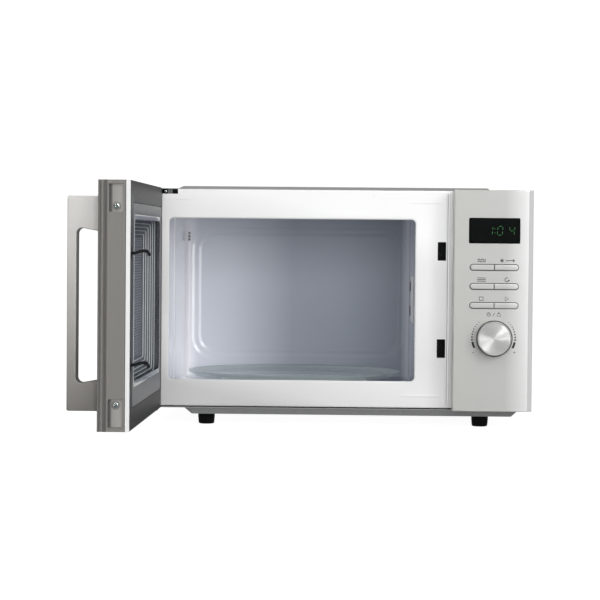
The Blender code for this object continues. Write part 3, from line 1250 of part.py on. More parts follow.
front_frame()
oven_cavity()
outer_cabinet()
base_plate()
rear_panel()
feet()
hinges()
door_frame()
door_layers()
door_handle()
latch()
switches()
control_panel()
display()
controls()
turntable()
microwave_source()
power_parts()
fan()
small_works()
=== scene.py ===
import json
import math

import bmesh
import bpy
import numpy as np
from mathutils import Matrix, Vector


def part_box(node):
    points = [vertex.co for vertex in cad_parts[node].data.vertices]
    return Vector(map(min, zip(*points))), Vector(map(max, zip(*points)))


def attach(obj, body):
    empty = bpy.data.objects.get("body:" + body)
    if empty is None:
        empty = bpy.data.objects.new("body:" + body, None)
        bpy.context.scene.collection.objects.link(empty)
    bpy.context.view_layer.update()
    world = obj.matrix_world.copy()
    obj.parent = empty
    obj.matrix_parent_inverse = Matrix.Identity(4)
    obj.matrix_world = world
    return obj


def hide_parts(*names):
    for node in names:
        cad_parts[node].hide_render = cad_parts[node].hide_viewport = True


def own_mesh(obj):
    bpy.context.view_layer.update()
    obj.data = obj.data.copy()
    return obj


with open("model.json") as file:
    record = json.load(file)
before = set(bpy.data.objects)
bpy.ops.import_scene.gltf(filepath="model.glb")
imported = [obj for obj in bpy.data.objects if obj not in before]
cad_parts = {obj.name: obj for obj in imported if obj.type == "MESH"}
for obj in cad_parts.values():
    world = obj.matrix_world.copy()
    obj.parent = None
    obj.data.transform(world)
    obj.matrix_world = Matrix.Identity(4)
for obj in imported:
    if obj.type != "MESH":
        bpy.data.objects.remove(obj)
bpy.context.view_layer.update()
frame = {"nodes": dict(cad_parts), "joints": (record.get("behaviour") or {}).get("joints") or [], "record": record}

# Sizes below are millimetres in the body frame: x = 0 on the body's middle, y = 0 on the front plate's face,
# z = 0 on the worktop. Door pieces are given as if the door were shut.
mm = 0.001
turntable = {"centre": (-53.85, 150.65), "radius": 133.75, "low": 52.6, "axle": 46.8, "track": 88,
             "turnBy": 30}
hingeLine = (-220.8, -14.0, 0)  # upright, through both hinge pins
shift = np.array([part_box("control_panel")[1].x - 0.2325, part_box("front_frame")[0].y, 0.0])
hinge = next(j for j in frame["joints"] if j["name"] == "door_hinge")
hingePoint = np.array(hinge["pos_m"])
doorTurn = math.radians(hinge["range_deg"][0])


class Wire:
    # one socket of a node tree, with ordinary arithmetic
    def __init__(self, tree, socket):
        self.tree = tree
        self.socket = socket

    def maths(self, kind, *others):
        made = self.tree.nodes.new("ShaderNodeMath")
        made.operation = kind
        for spot, value in enumerate((self, *others)):
            if isinstance(value, Wire):
                self.tree.links.new(value.socket, made.inputs[spot])
            else:
                made.inputs[spot].default_value = value
        return Wire(self.tree, made.outputs[0])

    def constant(self, value):
        made = self.tree.nodes.new("ShaderNodeValue")
        made.outputs[0].default_value = value
        return Wire(self.tree, made.outputs[0])

    def __add__(self, other): return self.maths("ADD", other)
    def __radd__(self, other): return self.maths("ADD", other)
    def __sub__(self, other): return self.maths("SUBTRACT", other)
    def __rsub__(self, other): return self.constant(other).maths("SUBTRACT", self)
    def __mul__(self, other): return self.maths("MULTIPLY", other)
    def __rmul__(self, other): return self.maths("MULTIPLY", other)
    def __truediv__(self, other): return self.maths("DIVIDE", other)
    def __rtruediv__(self, other): return self.constant(other).maths("DIVIDE", self)


class Finish:
    # a Principled material with named extras
    def __init__(self, name, colour, rough, metal=0.0, **fixed):
        self.mat = bpy.data.materials.new(name)
        self.mat.use_nodes = True
        self.tree = self.mat.node_tree
        self.shader = self.tree.nodes["Principled BSDF"]
        self.out = self.tree.nodes["Material Output"]
        self.colour = colour
        self.rough = rough
        self.shader.inputs["Base Color"].default_value = (*colour, 1.0)
        self.shader.inputs["Roughness"].default_value = rough
        self.shader.inputs["Metallic"].default_value = metal
        for key, value in fixed.items():
            self.shader.inputs[key.replace("_", " ")].default_value = value

    def node(self, kind, settings=None, inputs=None):
        made = self.tree.nodes.new(kind)
        for key, value in (settings or {}).items():
            setattr(made, key, value)
        for key, value in (inputs or {}).items():
            if isinstance(value, Wire):
                self.tree.links.new(value.socket, made.inputs[key])
            else:
                made.inputs[key].default_value = value
        return made

    def wire(self, made, socket=0):
        return Wire(self.tree, made.outputs[socket])

    def spot(self):
        # object coordinates in millimetres of the body frame
        coords = self.wire(self.node("ShaderNodeTexCoord"), "Object")
        back = self.node("ShaderNodeMapping", inputs={"Vector": coords, "Location": tuple(-shift / mm),
                                                      "Scale": (1 / mm,) * 3})
        return self.wire(back)

    def axes(self):
        split = self.node("ShaderNodeSeparateXYZ", inputs={0: self.spot()})
        return [self.wire(split, k) for k in range(3)]

    def noise(self, pitch, detail=2.0, stretch=(1, 1, 1)):
        # soft noise whose blobs are about pitch millimetres wide
        placed = self.node("ShaderNodeMapping", inputs={
            "Vector": self.spot(), "Scale": tuple(s / pitch for s in stretch)})
        made = self.node("ShaderNodeTexNoise", inputs={
            "Vector": self.wire(placed), "Scale": 1.0, "Detail": detail})
        return self.wire(made)

    def feed(self, socket, value):
        self.tree.links.new(value.socket, self.shader.inputs[socket])
        return self

    def blendColour(self, factor, low, high):
        # factor 0 gives low and 1 gives high
        made = self.node("ShaderNodeMix", {"data_type": "RGBA"}, {
            0: factor, 6: (*low, 1.0), 7: (*high, 1.0)})
        return self.wire(made, 2)

    def mottle(self, pitch, amount, stretch=(1, 1, 1)):
        # the colour wanders by a share of itself
        low = tuple(c * (1 - amount) for c in self.colour)
        high = tuple(min(1.0, c * (1 + amount)) for c in self.colour)
        return self.feed("Base Color", self.blendColour(self.noise(pitch, 3.0, stretch), low, high))

    def run(self, weights, stops, pitch, amount):
        # the colour runs along a weighted sum of x, y and z from stop to stop, and wanders a little; in this
        # script the stops hold painted light and shade, with the door's silver face the one real colour among them
        x, y, z = self.axes()
        place = x * weights[0] + y * weights[1] + z * weights[2]
        tone = self.blendColour(0.0, stops[0][1], stops[0][1])
        for (start, _), (end, colour) in zip(stops, stops[1:]):
            share = ((place - start) / (end - start)).maths("MAXIMUM", 0.0).maths("MINIMUM", 1.0)
            tone = self.wire(self.node("ShaderNodeMix", {"data_type": "RGBA"},
                                       {0: share, 6: tone, 7: (*colour, 1.0)}), 2)
        grey = self.blendColour(self.noise(pitch, 3.0), (1 - amount,) * 3, (1.0,) * 3)
        made = self.node("ShaderNodeMix", {"data_type": "RGBA", "blend_type": "MULTIPLY"},
                         {0: 1.0, 6: tone, 7: grey})
        return self.feed("Base Color", self.wire(made, 2))

    def haze(self, pitch, amount):
        # the roughness wanders
        return self.feed("Roughness", self.rough + (self.noise(pitch, 3.0) - 0.5) * amount)

    def grain(self, pitch, depth, stretch=(1, 1, 1)):
        # fine relief, depth in millimetres
        made = self.node("ShaderNodeBump", inputs={
            "Strength": 1.0, "Distance": depth * mm, "Height": self.noise(pitch, 2.0, stretch)})
        return self.feed("Normal", self.wire(made))


def clear(name, tint, gloss, see, metal=0.0, strength=0.4):
    # thin clear sheet: mostly see-through, with a gloss that grows towards grazing
    made = Finish(name, tint, gloss, metal)
    through = made.node("ShaderNodeBsdfTransparent", inputs={"Color": (*see, 1.0)})
    edge = made.wire(made.node("ShaderNodeFresnel", inputs={"IOR": 1.5}))
    share = (edge * strength + 0.015).maths("MINIMUM", 1.0)
    mixed = made.node("ShaderNodeMixShader", inputs={0: share})
    made.tree.links.new(through.outputs[0], mixed.inputs[1])
    made.tree.links.new(made.shader.outputs[0], mixed.inputs[2])
    made.tree.links.new(mixed.outputs[0], made.out.inputs["Surface"])
    return made


# one finish for each material slot of the record, and a few of this script's own
finishes = {}
made = finishes["white_enamel"] = Finish("enamelWhite", (0.80, 0.80, 0.79), 0.28, Coat_Weight=0.5,
                                         Coat_Roughness=0.12)
# painted light and shade: the plate grows darker towards the bottom and the left, and is lightest near the top
made.run((0.25, 0, 1), [(level, (tone, tone, tone * 0.995)) for level, tone in (
    (3, 0.525), (28, 0.65), (67, 0.72), (107, 0.67), (177, 0.71), (220, 0.71), (258, 0.81), (310, 0.79))],
         160, 0.01)
made.haze(60, 0.03).grain(2.2, 0.0008)
made = finishes["white_edge"] = Finish("enamelEdge", (0.6, 0.6, 0.6), 0.24, Coat_Weight=0.7,
                                       Coat_Roughness=0.08)
# painted highlight and shade across the ridge beside the panel: a dark line, a bright crest, a mid-grey ledge in
# the ridge's shadow and a near-black line where it drops to the panel
made.run((1, 0, 0), [(place, (tone, tone, tone)) for place, tone in (
    (131.5, 0.74), (131.9, 0.22), (132.5, 0.22), (133.0, 0.5), (133.3, 0.95), (134.7, 0.95), (135.0, 0.32),
    (137.0, 0.34), (137.3, 0.02))], 60, 0.02)
made.haze(40, 0.03)
made = finishes["cavity_enamel"] = Finish("enamelCavity", (0.66, 0.68, 0.76), 0.34, Coat_Weight=1.0,
                                          Coat_Roughness=0.1)
# painted light and shade: bright on the left wall, darker across the back towards the right, and lighter again on
# the right wall
made.run((1, 0, 0), (
    (-203, (0.93, 0.93, 0.96)), (-186, (0.62, 0.64, 0.70)), (-60, (0.265, 0.285, 0.335)),
    (84, (0.225, 0.25, 0.30)), (93, (0.50, 0.52, 0.58))), 90, 0.03)
made.haze(40, 0.05).grain(2.2, 0.001)
made = finishes["cabinet_paint"] = Finish("paintCabinet", (0.27, 0.27, 0.27), 0.48)
made.mottle(40, 0.04).haze(6, 0.12).grain(0.9, 0.03)
made = finishes["zinc_steel"] = Finish("steelZinc", (0.42, 0.42, 0.42), 0.42, 0.4)
made.mottle(7, 0.12).haze(4, 0.25).grain(3.0, 0.01)
made = finishes["silver_moulding"] = Finish("silverPanel", (0.56, 0.56, 0.54), 0.36, 0.55, Coat_Weight=0.2,
                                            Coat_Roughness=0.2)
# painted highlight: the panel grows lighter towards its right edge and is brightest on the right slope
made.run((1, 0, 0), (
    (140, (0.61, 0.61, 0.58)), (200, (0.62, 0.62, 0.60)), (223, (0.88, 0.88, 0.87)),
    (227, (0.98, 0.98, 0.97))), 0.9, 0.04)
made.haze(5, 0.10).grain(0.5, 0.004)
made = finishes["door_moulding"] = Finish("mouldingDoor", (0.20, 0.193, 0.178), 0.40, 0.25)
# the bands lie along the open door, which stands 0.6 degrees past square; the first is its silver outer face, and
# the rest are the moulding's grey with painted shade in bands across the lip, groove, step and flat of the free
# edge
made.run((1, -0.01047, 0), [(-242.14, (0.52, 0.515, 0.50))] + [
    (place, (tone, tone * 0.965, tone * 0.89)) for place, tone in (
        (-241.95, 0.18), (-240.7, 0.18), (-240.1, 0.12), (-238.7, 0.13), (-238.1, 0.20), (-235.7, 0.19),
        (-234.9, 0.09), (-232.9, 0.09), (-231.9, 0.20))], 0.9, 0.06)
made.haze(5, 0.12).grain(0.5, 0.006)
made = finishes["pocket_shade"] = Finish("mouldingPocket", (0.10, 0.097, 0.09), 0.5)
# painted shade for the door's pockets: darkest at the pocket's wall, lighter over its floor
made.run((1, 0, 0), [(place, (tone, tone * 0.97, tone * 0.92)) for place, tone in (
    (-236, 0.05), (-232.5, 0.07), (-230.5, 0.24), (-221, 0.30))], 6, 0.1)
made.haze(5, 0.12)
made = finishes["cover_moulding"] = Finish("mouldingCover", (0.12, 0.12, 0.12), 0.42, Specular_IOR_Level=0.2)
# painted shade: the cover grows darker towards the bottom and is lightest at the top
made.run((0, 0, 1), ((30, (0.018, 0.018, 0.018)), (280, (0.052, 0.052, 0.054))), 30, 0.03)
made.haze(7, 0.1).grain(0.7, 0.005)
made = finishes["trim_white"] = Finish("trimWhite", (0.66, 0.66, 0.655), 0.3)
made.mottle(30, 0.02).haze(7, 0.1)
made = finishes["window_film"] = Finish("filmSilver", (0.19, 0.19, 0.195), 0.38, Specular_IOR_Level=0.2)
made.mottle(25, 0.03).haze(14, 0.06).grain(6.0, 0.004)
made = finishes["clear_glass"] = clear("glassClear", (0.86, 0.88, 0.90), 0.03, (0.94, 0.955, 0.965), 1.0,
                                       0.06)
made.haze(20, 0.02)
made = finishes["tray_glass"] = clear("glassTray", (0.60, 0.64, 0.64), 0.06, (0.93, 0.955, 0.95), 0.0, 0.6)
made.haze(15, 0.04)
made = finishes["screen_black"] = Finish("screenBlack", (0.22, 0.226, 0.245), 0.35, 0.2)
made.mottle(5, 0.2).haze(3, 0.15).grain(1.0, 0.01)
# the screen's pressed steps, one steel sheet in two colours: flats in painted shade, risers in a painted highlight
made = finishes["screen_dark"] = Finish("screenDark", (0.006, 0.006, 0.007), 0.3, Specular_IOR_Level=0.04)
made.mottle(25, 0.2).haze(15, 0.05)
made = finishes["screen_gloss"] = Finish("screenGloss", (0.80, 0.79, 0.77), 0.3, 0.3)
made.mottle(25, 0.2).haze(15, 0.05)
made = finishes["handle_metal"] = Finish("metalHandle", (0.62, 0.61, 0.58), 0.34, 0.45)
# painted light and shade: the handle is lighter towards the top and darker towards the bottom, as light falls from
# above
made.run((0, 0, 1), (
    (45, (0.21, 0.20, 0.185)), (150, (0.45, 0.44, 0.415)), (265, (0.70, 0.685, 0.66))), 2.0, 0.06)
made.haze(3, 0.12).grain(0.6, 0.004, (1, 1, 0.05))
made = finishes["knob_metal"] = Finish("metalKnob", (0.74, 0.74, 0.72), 0.24, 0.72)
made.mottle(3.0, 0.03).haze(3, 0.08).grain(0.4, 0.002)
made = finishes["foot_rubber"] = Finish("rubberFoot", (0.003, 0.003, 0.003), 0.5, Specular_IOR_Level=0.15)
made.mottle(3, 0.3).haze(2, 0.2).grain(0.6, 0.03)
made = finishes["black_plastic"] = Finish("plasticBlack", (0.006, 0.006, 0.0065), 0.38,
                                          Specular_IOR_Level=0.3)
made.mottle(4, 0.3).haze(3, 0.15).grain(0.7, 0.01)
made = finishes["display_black"] = Finish("displayBlack", (0.003, 0.0035, 0.0035), 0.12,
                                          Specular_IOR_Level=0.18)
made.mottle(12, 0.3).haze(9, 0.05)
made = finishes["circuit_board"] = Finish("boardGreen", (0.03, 0.16, 0.06), 0.5)
made.mottle(4, 0.35).haze(2, 0.2).grain(2.0, 0.05)
made = finishes["spring_steel"] = Finish("steelSpring", (0.55, 0.55, 0.54), 0.25, 1.0)
made.mottle(2, 0.06).haze(1.5, 0.15).grain(0.4, 0.004)
made = finishes["laminated_iron"] = Finish("ironCore", (0.07, 0.07, 0.075), 0.5, 0.7)
made.mottle(0.7, 0.35, (0.05, 0.05, 1)).haze(2, 0.2).grain(0.6, 0.06, (0.05, 0.05, 1))
made = finishes["mica_sheet"] = Finish("sheetMica", (0.56, 0.56, 0.56), 0.45)
made.mottle(9, 0.12).haze(5, 0.15).grain(2.0, 0.02)
made = finishes["white_plastic"] = Finish("plasticWhite", (0.72, 0.72, 0.69), 0.42)
made.mottle(8, 0.04).haze(4, 0.12).grain(0.8, 0.01)
made = finishes["bare_aluminium"] = Finish("aluminiumBare", (0.68, 0.68, 0.69), 0.32, 1.0)
made.mottle(1.2, 0.06, (0.1, 1, 1)).haze(2, 0.15).grain(0.7, 0.006)
made = finishes["ink"] = Finish("inkGrey", (0.012, 0.012, 0.013), 0.5)
made.mottle(2, 0.15).haze(3, 0.1)
made = finishes["digit"] = Finish("digitGreen", (0.01, 0.05, 0.015), 0.4,
                                  Emission_Color=(0.04, 0.30, 0.06, 1), Emission_Strength=0.45)
made.mottle(2, 0.15).haze(3, 0.1)
made = finishes["chrome"] = Finish("chromeScrew", (0.60, 0.66, 0.64), 0.2, 1.0)
made.mottle(1.5, 0.08).haze(1, 0.1)
print("finishes made", len(finishes))


def toRow(points, door=False):
    # from millimetres of the body frame to metres of the row frame
    spots = np.asarray(points, float) * mm + shift
    if door:
        # a turn about the upright hinge line, from the shut door to where the CAD door stands
        c, s = math.cos(doorTurn), math.sin(doorTurn)
        away = spots - hingePoint
        spots = np.stack([hingePoint[0] + away[..., 0] * c - away[..., 1] * s,
                          hingePoint[1] + away[..., 0] * s + away[..., 1] * c, spots[..., 2]], -1)
    return spots


def roundLoop(x0, x1, z0, z1, radius, steps=8, side=1):
    # a rectangle with quarter-circle corners, anticlockwise, each straight side cut into equal lengths
    radius = max(0.01, min(radius, (x1 - x0) / 2 - 0.01, (z1 - z0) / 2 - 0.01))
    centres = np.array([(x1 - radius, z1 - radius), (x0 + radius, z1 - radius),
                        (x0 + radius, z0 + radius), (x1 - radius, z0 + radius)])
    parts = []
    for corner in range(4):
        angle = np.linspace(0, math.pi / 2, steps + 1) + corner * math.pi / 2
        bend = centres[corner] + radius * np.stack([np.cos(angle), np.sin(angle)], 1)
        after = (corner + 1) * math.pi / 2
        start = centres[(corner + 1) % 4] + radius * np.array([math.cos(after), math.sin(after)])
        along = np.linspace(0, 1, side + 1)[1:-1, None]
        parts += [bend, bend[-1] + along * (start - bend[-1])]
    return np.concatenate(parts)


def atY(loop, y):
    # a loop of x and z, placed at a depth
    return np.stack([loop[:, 0], np.full(len(loop), float(y)), loop[:, 1]], 1)


def atZ(loop, z):
    # a loop of x and y, placed at a height
    return np.stack([loop[:, 0], loop[:, 1], np.full(len(loop), float(z))], 1)


def gridMesh(name, points, closeU=False, closeV=False, capStart=False, capEnd=False, door=False):
    # a surface from rows of points: each cell is a quad between two rows and two columns
    points = np.asarray(points, float)
    rows, cols = points.shape[:2]
    i = np.arange(rows if closeU else rows - 1)[:, None]
    j = np.arange(cols if closeV else cols - 1)[None, :]
    a = i * cols + j
    b = i * cols + (j + 1) % cols
    c = ((i + 1) % rows) * cols + (j + 1) % cols
    d = ((i + 1) % rows) * cols + j
    faces = np.stack([a, b, c, d], -1).reshape(-1, 4).tolist()
    if capStart:
        faces.append(list(range(cols))[::-1])
    if capEnd:
        faces.append([(rows - 1) * cols + k for k in range(cols)])
    mesh = bpy.data.meshes.new(name)
    mesh.from_pydata(toRow(points.reshape(-1, 3), door).tolist(), [], faces)
    return mesh


def joined(name, meshes):
    # several meshes as one
    bm = bmesh.new()
    for mesh in meshes:
        bm.from_mesh(mesh)
    made = bpy.data.meshes.new(name)
    bm.to_mesh(made)
    bm.free()
    return made


def settle(mesh, angle=35.0, weld=0.00001):
    # faces turned outwards, doubles merged, and shading smooth up to an angle
    bm = bmesh.new()
    bm.from_mesh(mesh)
    bmesh.ops.remove_doubles(bm, verts=bm.verts, dist=weld)
    bmesh.ops.recalc_face_normals(bm, faces=bm.faces)
    bm.to_mesh(mesh)
    bm.free()
    mesh.shade_smooth()
    mesh.set_sharp_from_angle(angle=math.radians(angle))


def show(name, mesh, finish, body="body", stands=(), angle=35.0):
    # a mesh as a piece: its finish, the body it rides on and the CAD nodes it stands for
    settle(mesh, angle)
    made = bpy.data.objects.new(name, mesh)
    bpy.context.scene.collection.objects.link(made)
    mesh.materials.append(finishes[finish].mat)
    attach(made, body)
    if stands:
        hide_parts(*stands)
    return made


def solid(made, thick, offset=-1.0):
    # a sheet gets its wall, to one side of its faces
    wall = made.modifiers.new("wall", "SOLIDIFY")
    wall.thickness = thick * mm
    wall.offset = offset
    wall.use_even_offset = True
    return wall


def cut(made, mesh, kind="DIFFERENCE"):
    # the mesh is taken from the piece, or added to it, and the piece's modifiers are applied
    settle(mesh)
    tool = bpy.data.objects.new(f"{made.name}Tool{len(made.modifiers)}", mesh)
    bpy.context.scene.collection.objects.link(tool)
    change = made.modifiers.new("cut", "BOOLEAN")
    change.operation = kind
    change.solver = "EXACT"
    change.object = tool
    bpy.context.view_layer.objects.active = made
    made.select_set(True)
    with bpy.context.temp_override(object=made, active_object=made, selected_objects=[made]):
        for step in list(made.modifiers):
            bpy.ops.object.modifier_apply(modifier=step.name)
    made.select_set(False)
    bpy.data.objects.remove(tool, do_unlink=True)
    made.data.shade_smooth()
    made.data.set_sharp_from_angle(angle=math.radians(35))
    return made


def bevel(made, width, segments=2, angle=40.0):
    # sharp edges get a small round, width in millimetres
    edge = made.modifiers.new("edge", "BEVEL")
    edge.width = width * mm
    edge.segments = segments
    edge.limit_method = "ANGLE"
    edge.angle_limit = math.radians(angle)
    edge.harden_normals = False
    return edge


def brick(x, y, z, radius=0.0, axis=1, door=False, name="brick", steps=5):
    # a block between pairs of x, y and z, its edges along one axis round
    flat = [pair for k, pair in enumerate((x, y, z)) if k != axis]
    loop = roundLoop(*flat[0], *flat[1], radius, steps) if radius else np.array(
        [(flat[0][0], flat[1][0]), (flat[0][1], flat[1][0]), (flat[0][1], flat[1][1]),
         (flat[0][0], flat[1][1])])
    ends = (x, y, z)[axis]
    rows = np.stack([np.insert(loop, axis, ends[0], axis=1), np.insert(loop, axis, ends[1], axis=1)])
    return gridMesh(name, rows, closeV=True, capStart=True, capEnd=True, door=door)


def lathe(profile, centre, axis=2, steps=64, door=False, closed=False):
    # (radius, height) points turned about a line through centre along one axis
    profile = np.asarray(profile, float)
    angle = np.linspace(0, 2 * math.pi, steps, endpoint=False)
    r, h = profile[:, 0][:, None], profile[:, 1][:, None]
    one, two = r * np.cos(angle), r * np.sin(angle)
    along = h + 0 * angle
    order = {0: (along, one, two), 1: (one, along, two), 2: (one, two, along)}[axis]
    return gridMesh("lathe", np.stack(order, -1) + np.asarray(centre, float), closeU=closed, closeV=True,
                    door=door)


def tube(path, radius, sides=10, door=False):
    # a circle carried along a path, turned square to it by the path's direction and a fixed side
    path = np.asarray(path, float)
    ahead = np.gradient(path, axis=0)
    ahead /= np.linalg.norm(ahead, axis=1)[:, None]
    side = np.cross(ahead, np.where(np.abs(ahead[:, 2:]) > 0.9, [[1.0, 0, 0]], [[0, 0, 1.0]]))
    side /= np.linalg.norm(side, axis=1)[:, None]
    up = np.cross(side, ahead)
    angle = np.linspace(0, 2 * math.pi, sides, endpoint=False)
    ring = (path[:, None] + radius * (np.cos(angle)[None, :, None] * side[:, None]
                                      + np.sin(angle)[None, :, None] * up[:, None]))
    return gridMesh("tube", ring, closeV=True, capStart=True, capEnd=True, door=door)


def step(t):
    # smooth rise from 0 to 1
    t = np.clip(t, 0.0, 1.0)
    return t * t * (3 - 2 * t)


def screwHead(at, radius, axis, out, door=False):
    # a domed head with a cross in it: the height is an arc over the radius, less two smooth grooves
    r = np.linspace(0, 1, 13)[:, None] * radius
    angle = np.linspace(0, 2 * math.pi, 48, endpoint=False)[None, :]
    a, b = r * np.cos(angle), r * np.sin(angle)
    dome = 0.42 * radius * np.sqrt(np.clip(1 - (r / radius) ** 2 * 0.92, 0, 1)) + 0 * angle

    def groove(across, along):
        narrow = step((0.16 * radius - np.abs(across)) / (0.08 * radius))
        return narrow * step((0.6 * radius - np.abs(along)) / (0.1 * radius))

    height = dome - 0.28 * radius * np.maximum(groove(a, b), groove(b, a))
    skirt = np.stack([a[-1:], b[-1:], np.full_like(a[-1:], -0.3 * radius)], -1)
    rows = np.concatenate([skirt, np.stack([a, b, height], -1)[::-1]], 0)
    flat, tall = rows[..., :2], rows[..., 2] * out
    order = [flat[..., 0], flat[..., 1]]
    order.insert(axis, tall)
    return gridMesh("screw", np.stack(order, -1) + np.asarray(at, float), closeV=True, capStart=True,
                    door=door)


plate = {"outer": (-231.5, 148.6, 24.5, 285.4), "hole": (-201.6, 93.9, 56.5, 250.2), "corner": 5.0,
         "lip": 1.8, "fold": 12.0, "thick": 0.8,
         "bars": ((-194.4, -176.0, 273.5), (87.0, 127.5, 271.1), (76.0, 127.5, 39.0)),
         "slots": (120.7, 130.7), "slotLow": (85.1, 201.7), "slotTall": 22.3}


def plateRelief(x, z):
    # y offset: short raised creases, as smooth bells, on a face that waves very slightly
    bars = 0.0
    for x0, x1, level in plate["bars"]:
        ends = step((x - x0) / 3) * step((x1 - x) / 3)
        bars = bars - 0.35 * ends * np.exp(-((z - level) / 0.9) ** 2)
    dish = 0.08 * np.sin(x / 61.0) * np.sin(z / 47.0)
    return bars + dish * step((x + 228) / 12) * step((133 - x) / 12)


def makePlate():
    x0, x1, z0, z1 = plate["outer"]
    h0, h1, hz0, hz1 = plate["hole"]
    lip = plate["lip"]
    rows = []
    for inset, depth in ((1.1, plate["fold"]), (1.0, 4.0), (0.9, 1.9), (0.35, 0.5)):
        rows.append(atY(roundLoop(x0 + inset, x1 - inset, z0 + inset, z1 - inset, 2.5, 6, 120), depth))
    outer = roundLoop(x0 + 1.4, x1 - 1.4, z0 + 1.4, z1 - 1.4, 2.0, 6, 120)
    inner = roundLoop(h0 - lip, h1 + lip, hz0 - lip, hz1 + lip, plate["corner"] + lip, 6, 120)
    # face rows run from the outer loop to the hole, closer together where the pressed bars are
    share = np.unique(np.concatenate([np.linspace(0, 1, 34), np.linspace(0.14, 0.36, 40)]))
    for s in share:
        loop = outer * (1 - s) + inner * s
        row = atY(loop, 0.0)
        row[:, 1] += plateRelief(loop[:, 0], loop[:, 1]) * step(s * 40) * step((1 - s) * 20)
        rows.append(row)
    # the lip turns back through a quarter circle
    for turn in np.linspace(0, math.pi / 2, 7)[1:]:
        back = lip * (1 - math.cos(turn))
        grow = lip * (1 - math.sin(turn))
        loop = roundLoop(h0 - grow, h1 + grow, hz0 - grow, hz1 + grow, plate["corner"] + grow, 6, 120)
        rows.append(atY(loop, back))
    made = show("frontPlate", gridMesh("frontPlate", rows, closeV=True), "white_enamel",
                stands=("front_frame",))
    solid(made, plate["thick"], -1.0)
    # the two latch slots, the upper hinge's notch and the lower hinge's place
    tools = [brick(plate["slots"], (-5, 8), (z, z + plate["slotTall"]), 0.7, 1) for z in plate["slotLow"]]
    tools.append(brick((-240, -191.5), (-5, 14), (279.3, 292)))
    tools.append(brick((-229, -212.8), (1.4, 14), (20, 34)))
    cut(made, joined("plateTools", tools))


makePlate()

# the edge beside the panel, seen from above: a low ridge, a ledge and a drop, carried straight up
edgeLine = np.array([(130.9, -0.02), (131.6, -0.05), (132.2, 0.25), (132.7, -0.4), (133.2, -0.9),
                     (133.7, -1.1), (134.2, -1.1), (134.6, -1.2), (134.9, -0.3), (135.2, 0.4), (135.6, 0.7),
                     (137.0, 0.75), (137.3, 1.2), (137.5, 2.6), (138.3, 3.4)])
edgeRows = [np.insert(edgeLine, 2, z,
                      axis=1) for z in np.concatenate([[28.5], np.linspace(30, 280, 26), [281.5]])]
show("plateEdge", gridMesh("plateEdge", edgeRows), "white_edge", angle=60)
print("front plate")

cavity = {"wall": (-202.6, 94.9, 41.0, 256.2), "back": 300.0, "round": 6.0, "front": 2.2,
          "ringOut": (-195.1, 88.2, 65.0, 242.3), "ringIn": (-182.4, 79.2, 77.5, 230.2), "ringCorner": 30.0,
          "sink": 2.9, "rib": 94, "steamX": -198.6, "steamZ": (224.6, 228.9, 233.2),
          "lampY": (64, 68, 72, 76, 80), "lampZ": (214, 218, 222, 226, 230)}


def makeCavity():
    x0, x1, z0, z1 = cavity["wall"]
    back, bend = cavity["back"], cavity["round"]
    steps, side = 8, 16
    rows = []
    depths = np.concatenate([[cavity["front"], 6, 12, 30, 60, 80], np.arange(86, 103, 1.0),
                             [110, 150, 200, 250, 280, back - bend]])
    for y in depths:
        loop = roundLoop(x0, x1, z0, z1, bend, steps, side)
        row = atY(loop, y)
        # a rib runs up the left wall, as a smooth bell along the depth
        left = step((-190 - loop[:, 0]) / 10)
        row[:, 0] += 1.1 * math.exp(-((y - cavity["rib"]) / 2.0) ** 2) * left
        rows.append(row)
    for turn in np.linspace(0, math.pi / 2, 6)[1:]:
        near = bend * (1 - math.cos(turn))
        rows.append(atY(roundLoop(x0 + near, x1 - near, z0 + near, z1 - near, bend, steps, side),
                        back - bend + bend * math.sin(turn)))
    # the rear wall's stamping: two short slopes back, one at each of two rounded loops
    a, b = cavity["ringOut"], cavity["ringIn"]
    for s in np.concatenate([[-0.05], np.linspace(-0.02, 0.32, 10), [0.5], np.linspace(0.68, 1.02, 10),
                             [1.12]]):
        edge = [p * (1 - s) + q * s for p, q in zip(a, b)]
        rise = 0.5 * (min(max(s / 0.3, 0.0), 1.0) + min(max((s - 0.7) / 0.3, 0.0), 1.0))
        rows.append(atY(roundLoop(*edge, cavity["ringCorner"] - 10 * s, steps, side),
                        back + cavity["sink"] * rise))
    edge = np.array(b)
    for s in (0.15, 0.4, 0.7, 0.95):
        middle = np.array([(edge[0] + edge[1]) / 2] * 2 + [(edge[2] + edge[3]) / 2] * 2)
        rows.append(atY(roundLoop(*(edge * (1 - s) + middle * s), 19 * (1 - s), steps, side),
                        back + cavity["sink"]))
    made = show("ovenBox", gridMesh("ovenBox", rows, closeV=True, capEnd=True), "cavity_enamel",
                stands=("oven_cavity",))
    # the faces look outwards on the whole, so that the wall grows away from the cooking space
    middle = toRow([(turntable["centre"][0], 150.0, 150.0)])[0]
    away = sum((face.center - Vector(middle)).dot(face.normal) * face.area for face in made.data.polygons)
    if away < 0:
        made.data.flip_normals()
    solid(made, 1.0, 1.0)
    tools = [lathe([(0, 30), (5.5, 30), (5.5, 50), (0, 50)], (*turntable["centre"], 0), steps=32),
             brick((80, 110), (104, 177), (128, 176), 2, 0)]
    # steam holes high in the left rear corner and lamp holes on the right, all round
    tools += [lathe([(0, 280), (1.5, 280), (1.5, 312), (0, 312)], (cavity["steamX"], 0, z), axis=1, steps=16)
              for z in cavity["steamZ"]]
    holes = [(95, y, z) for y in cavity["lampY"] for z in cavity["lampZ"]]
    tools += [lathe([(0, -6), (1.35, -6), (1.35, 6), (0, 6)], at, axis=0, steps=12) for at in holes]
    cut(made, joined("cavityTools", tools))


makeCavity()
print("cavity")

cabinet = {"side": 232.0, "low": 22.0, "top": 286.0, "front": 1.3, "rear": 325.0, "edge": 4.0, "rise": 3.5,
           "vents": {"rows": 8, "starts": (60, 100), "low": 100, "pitch": 9, "tall": 4, "long": 30}}


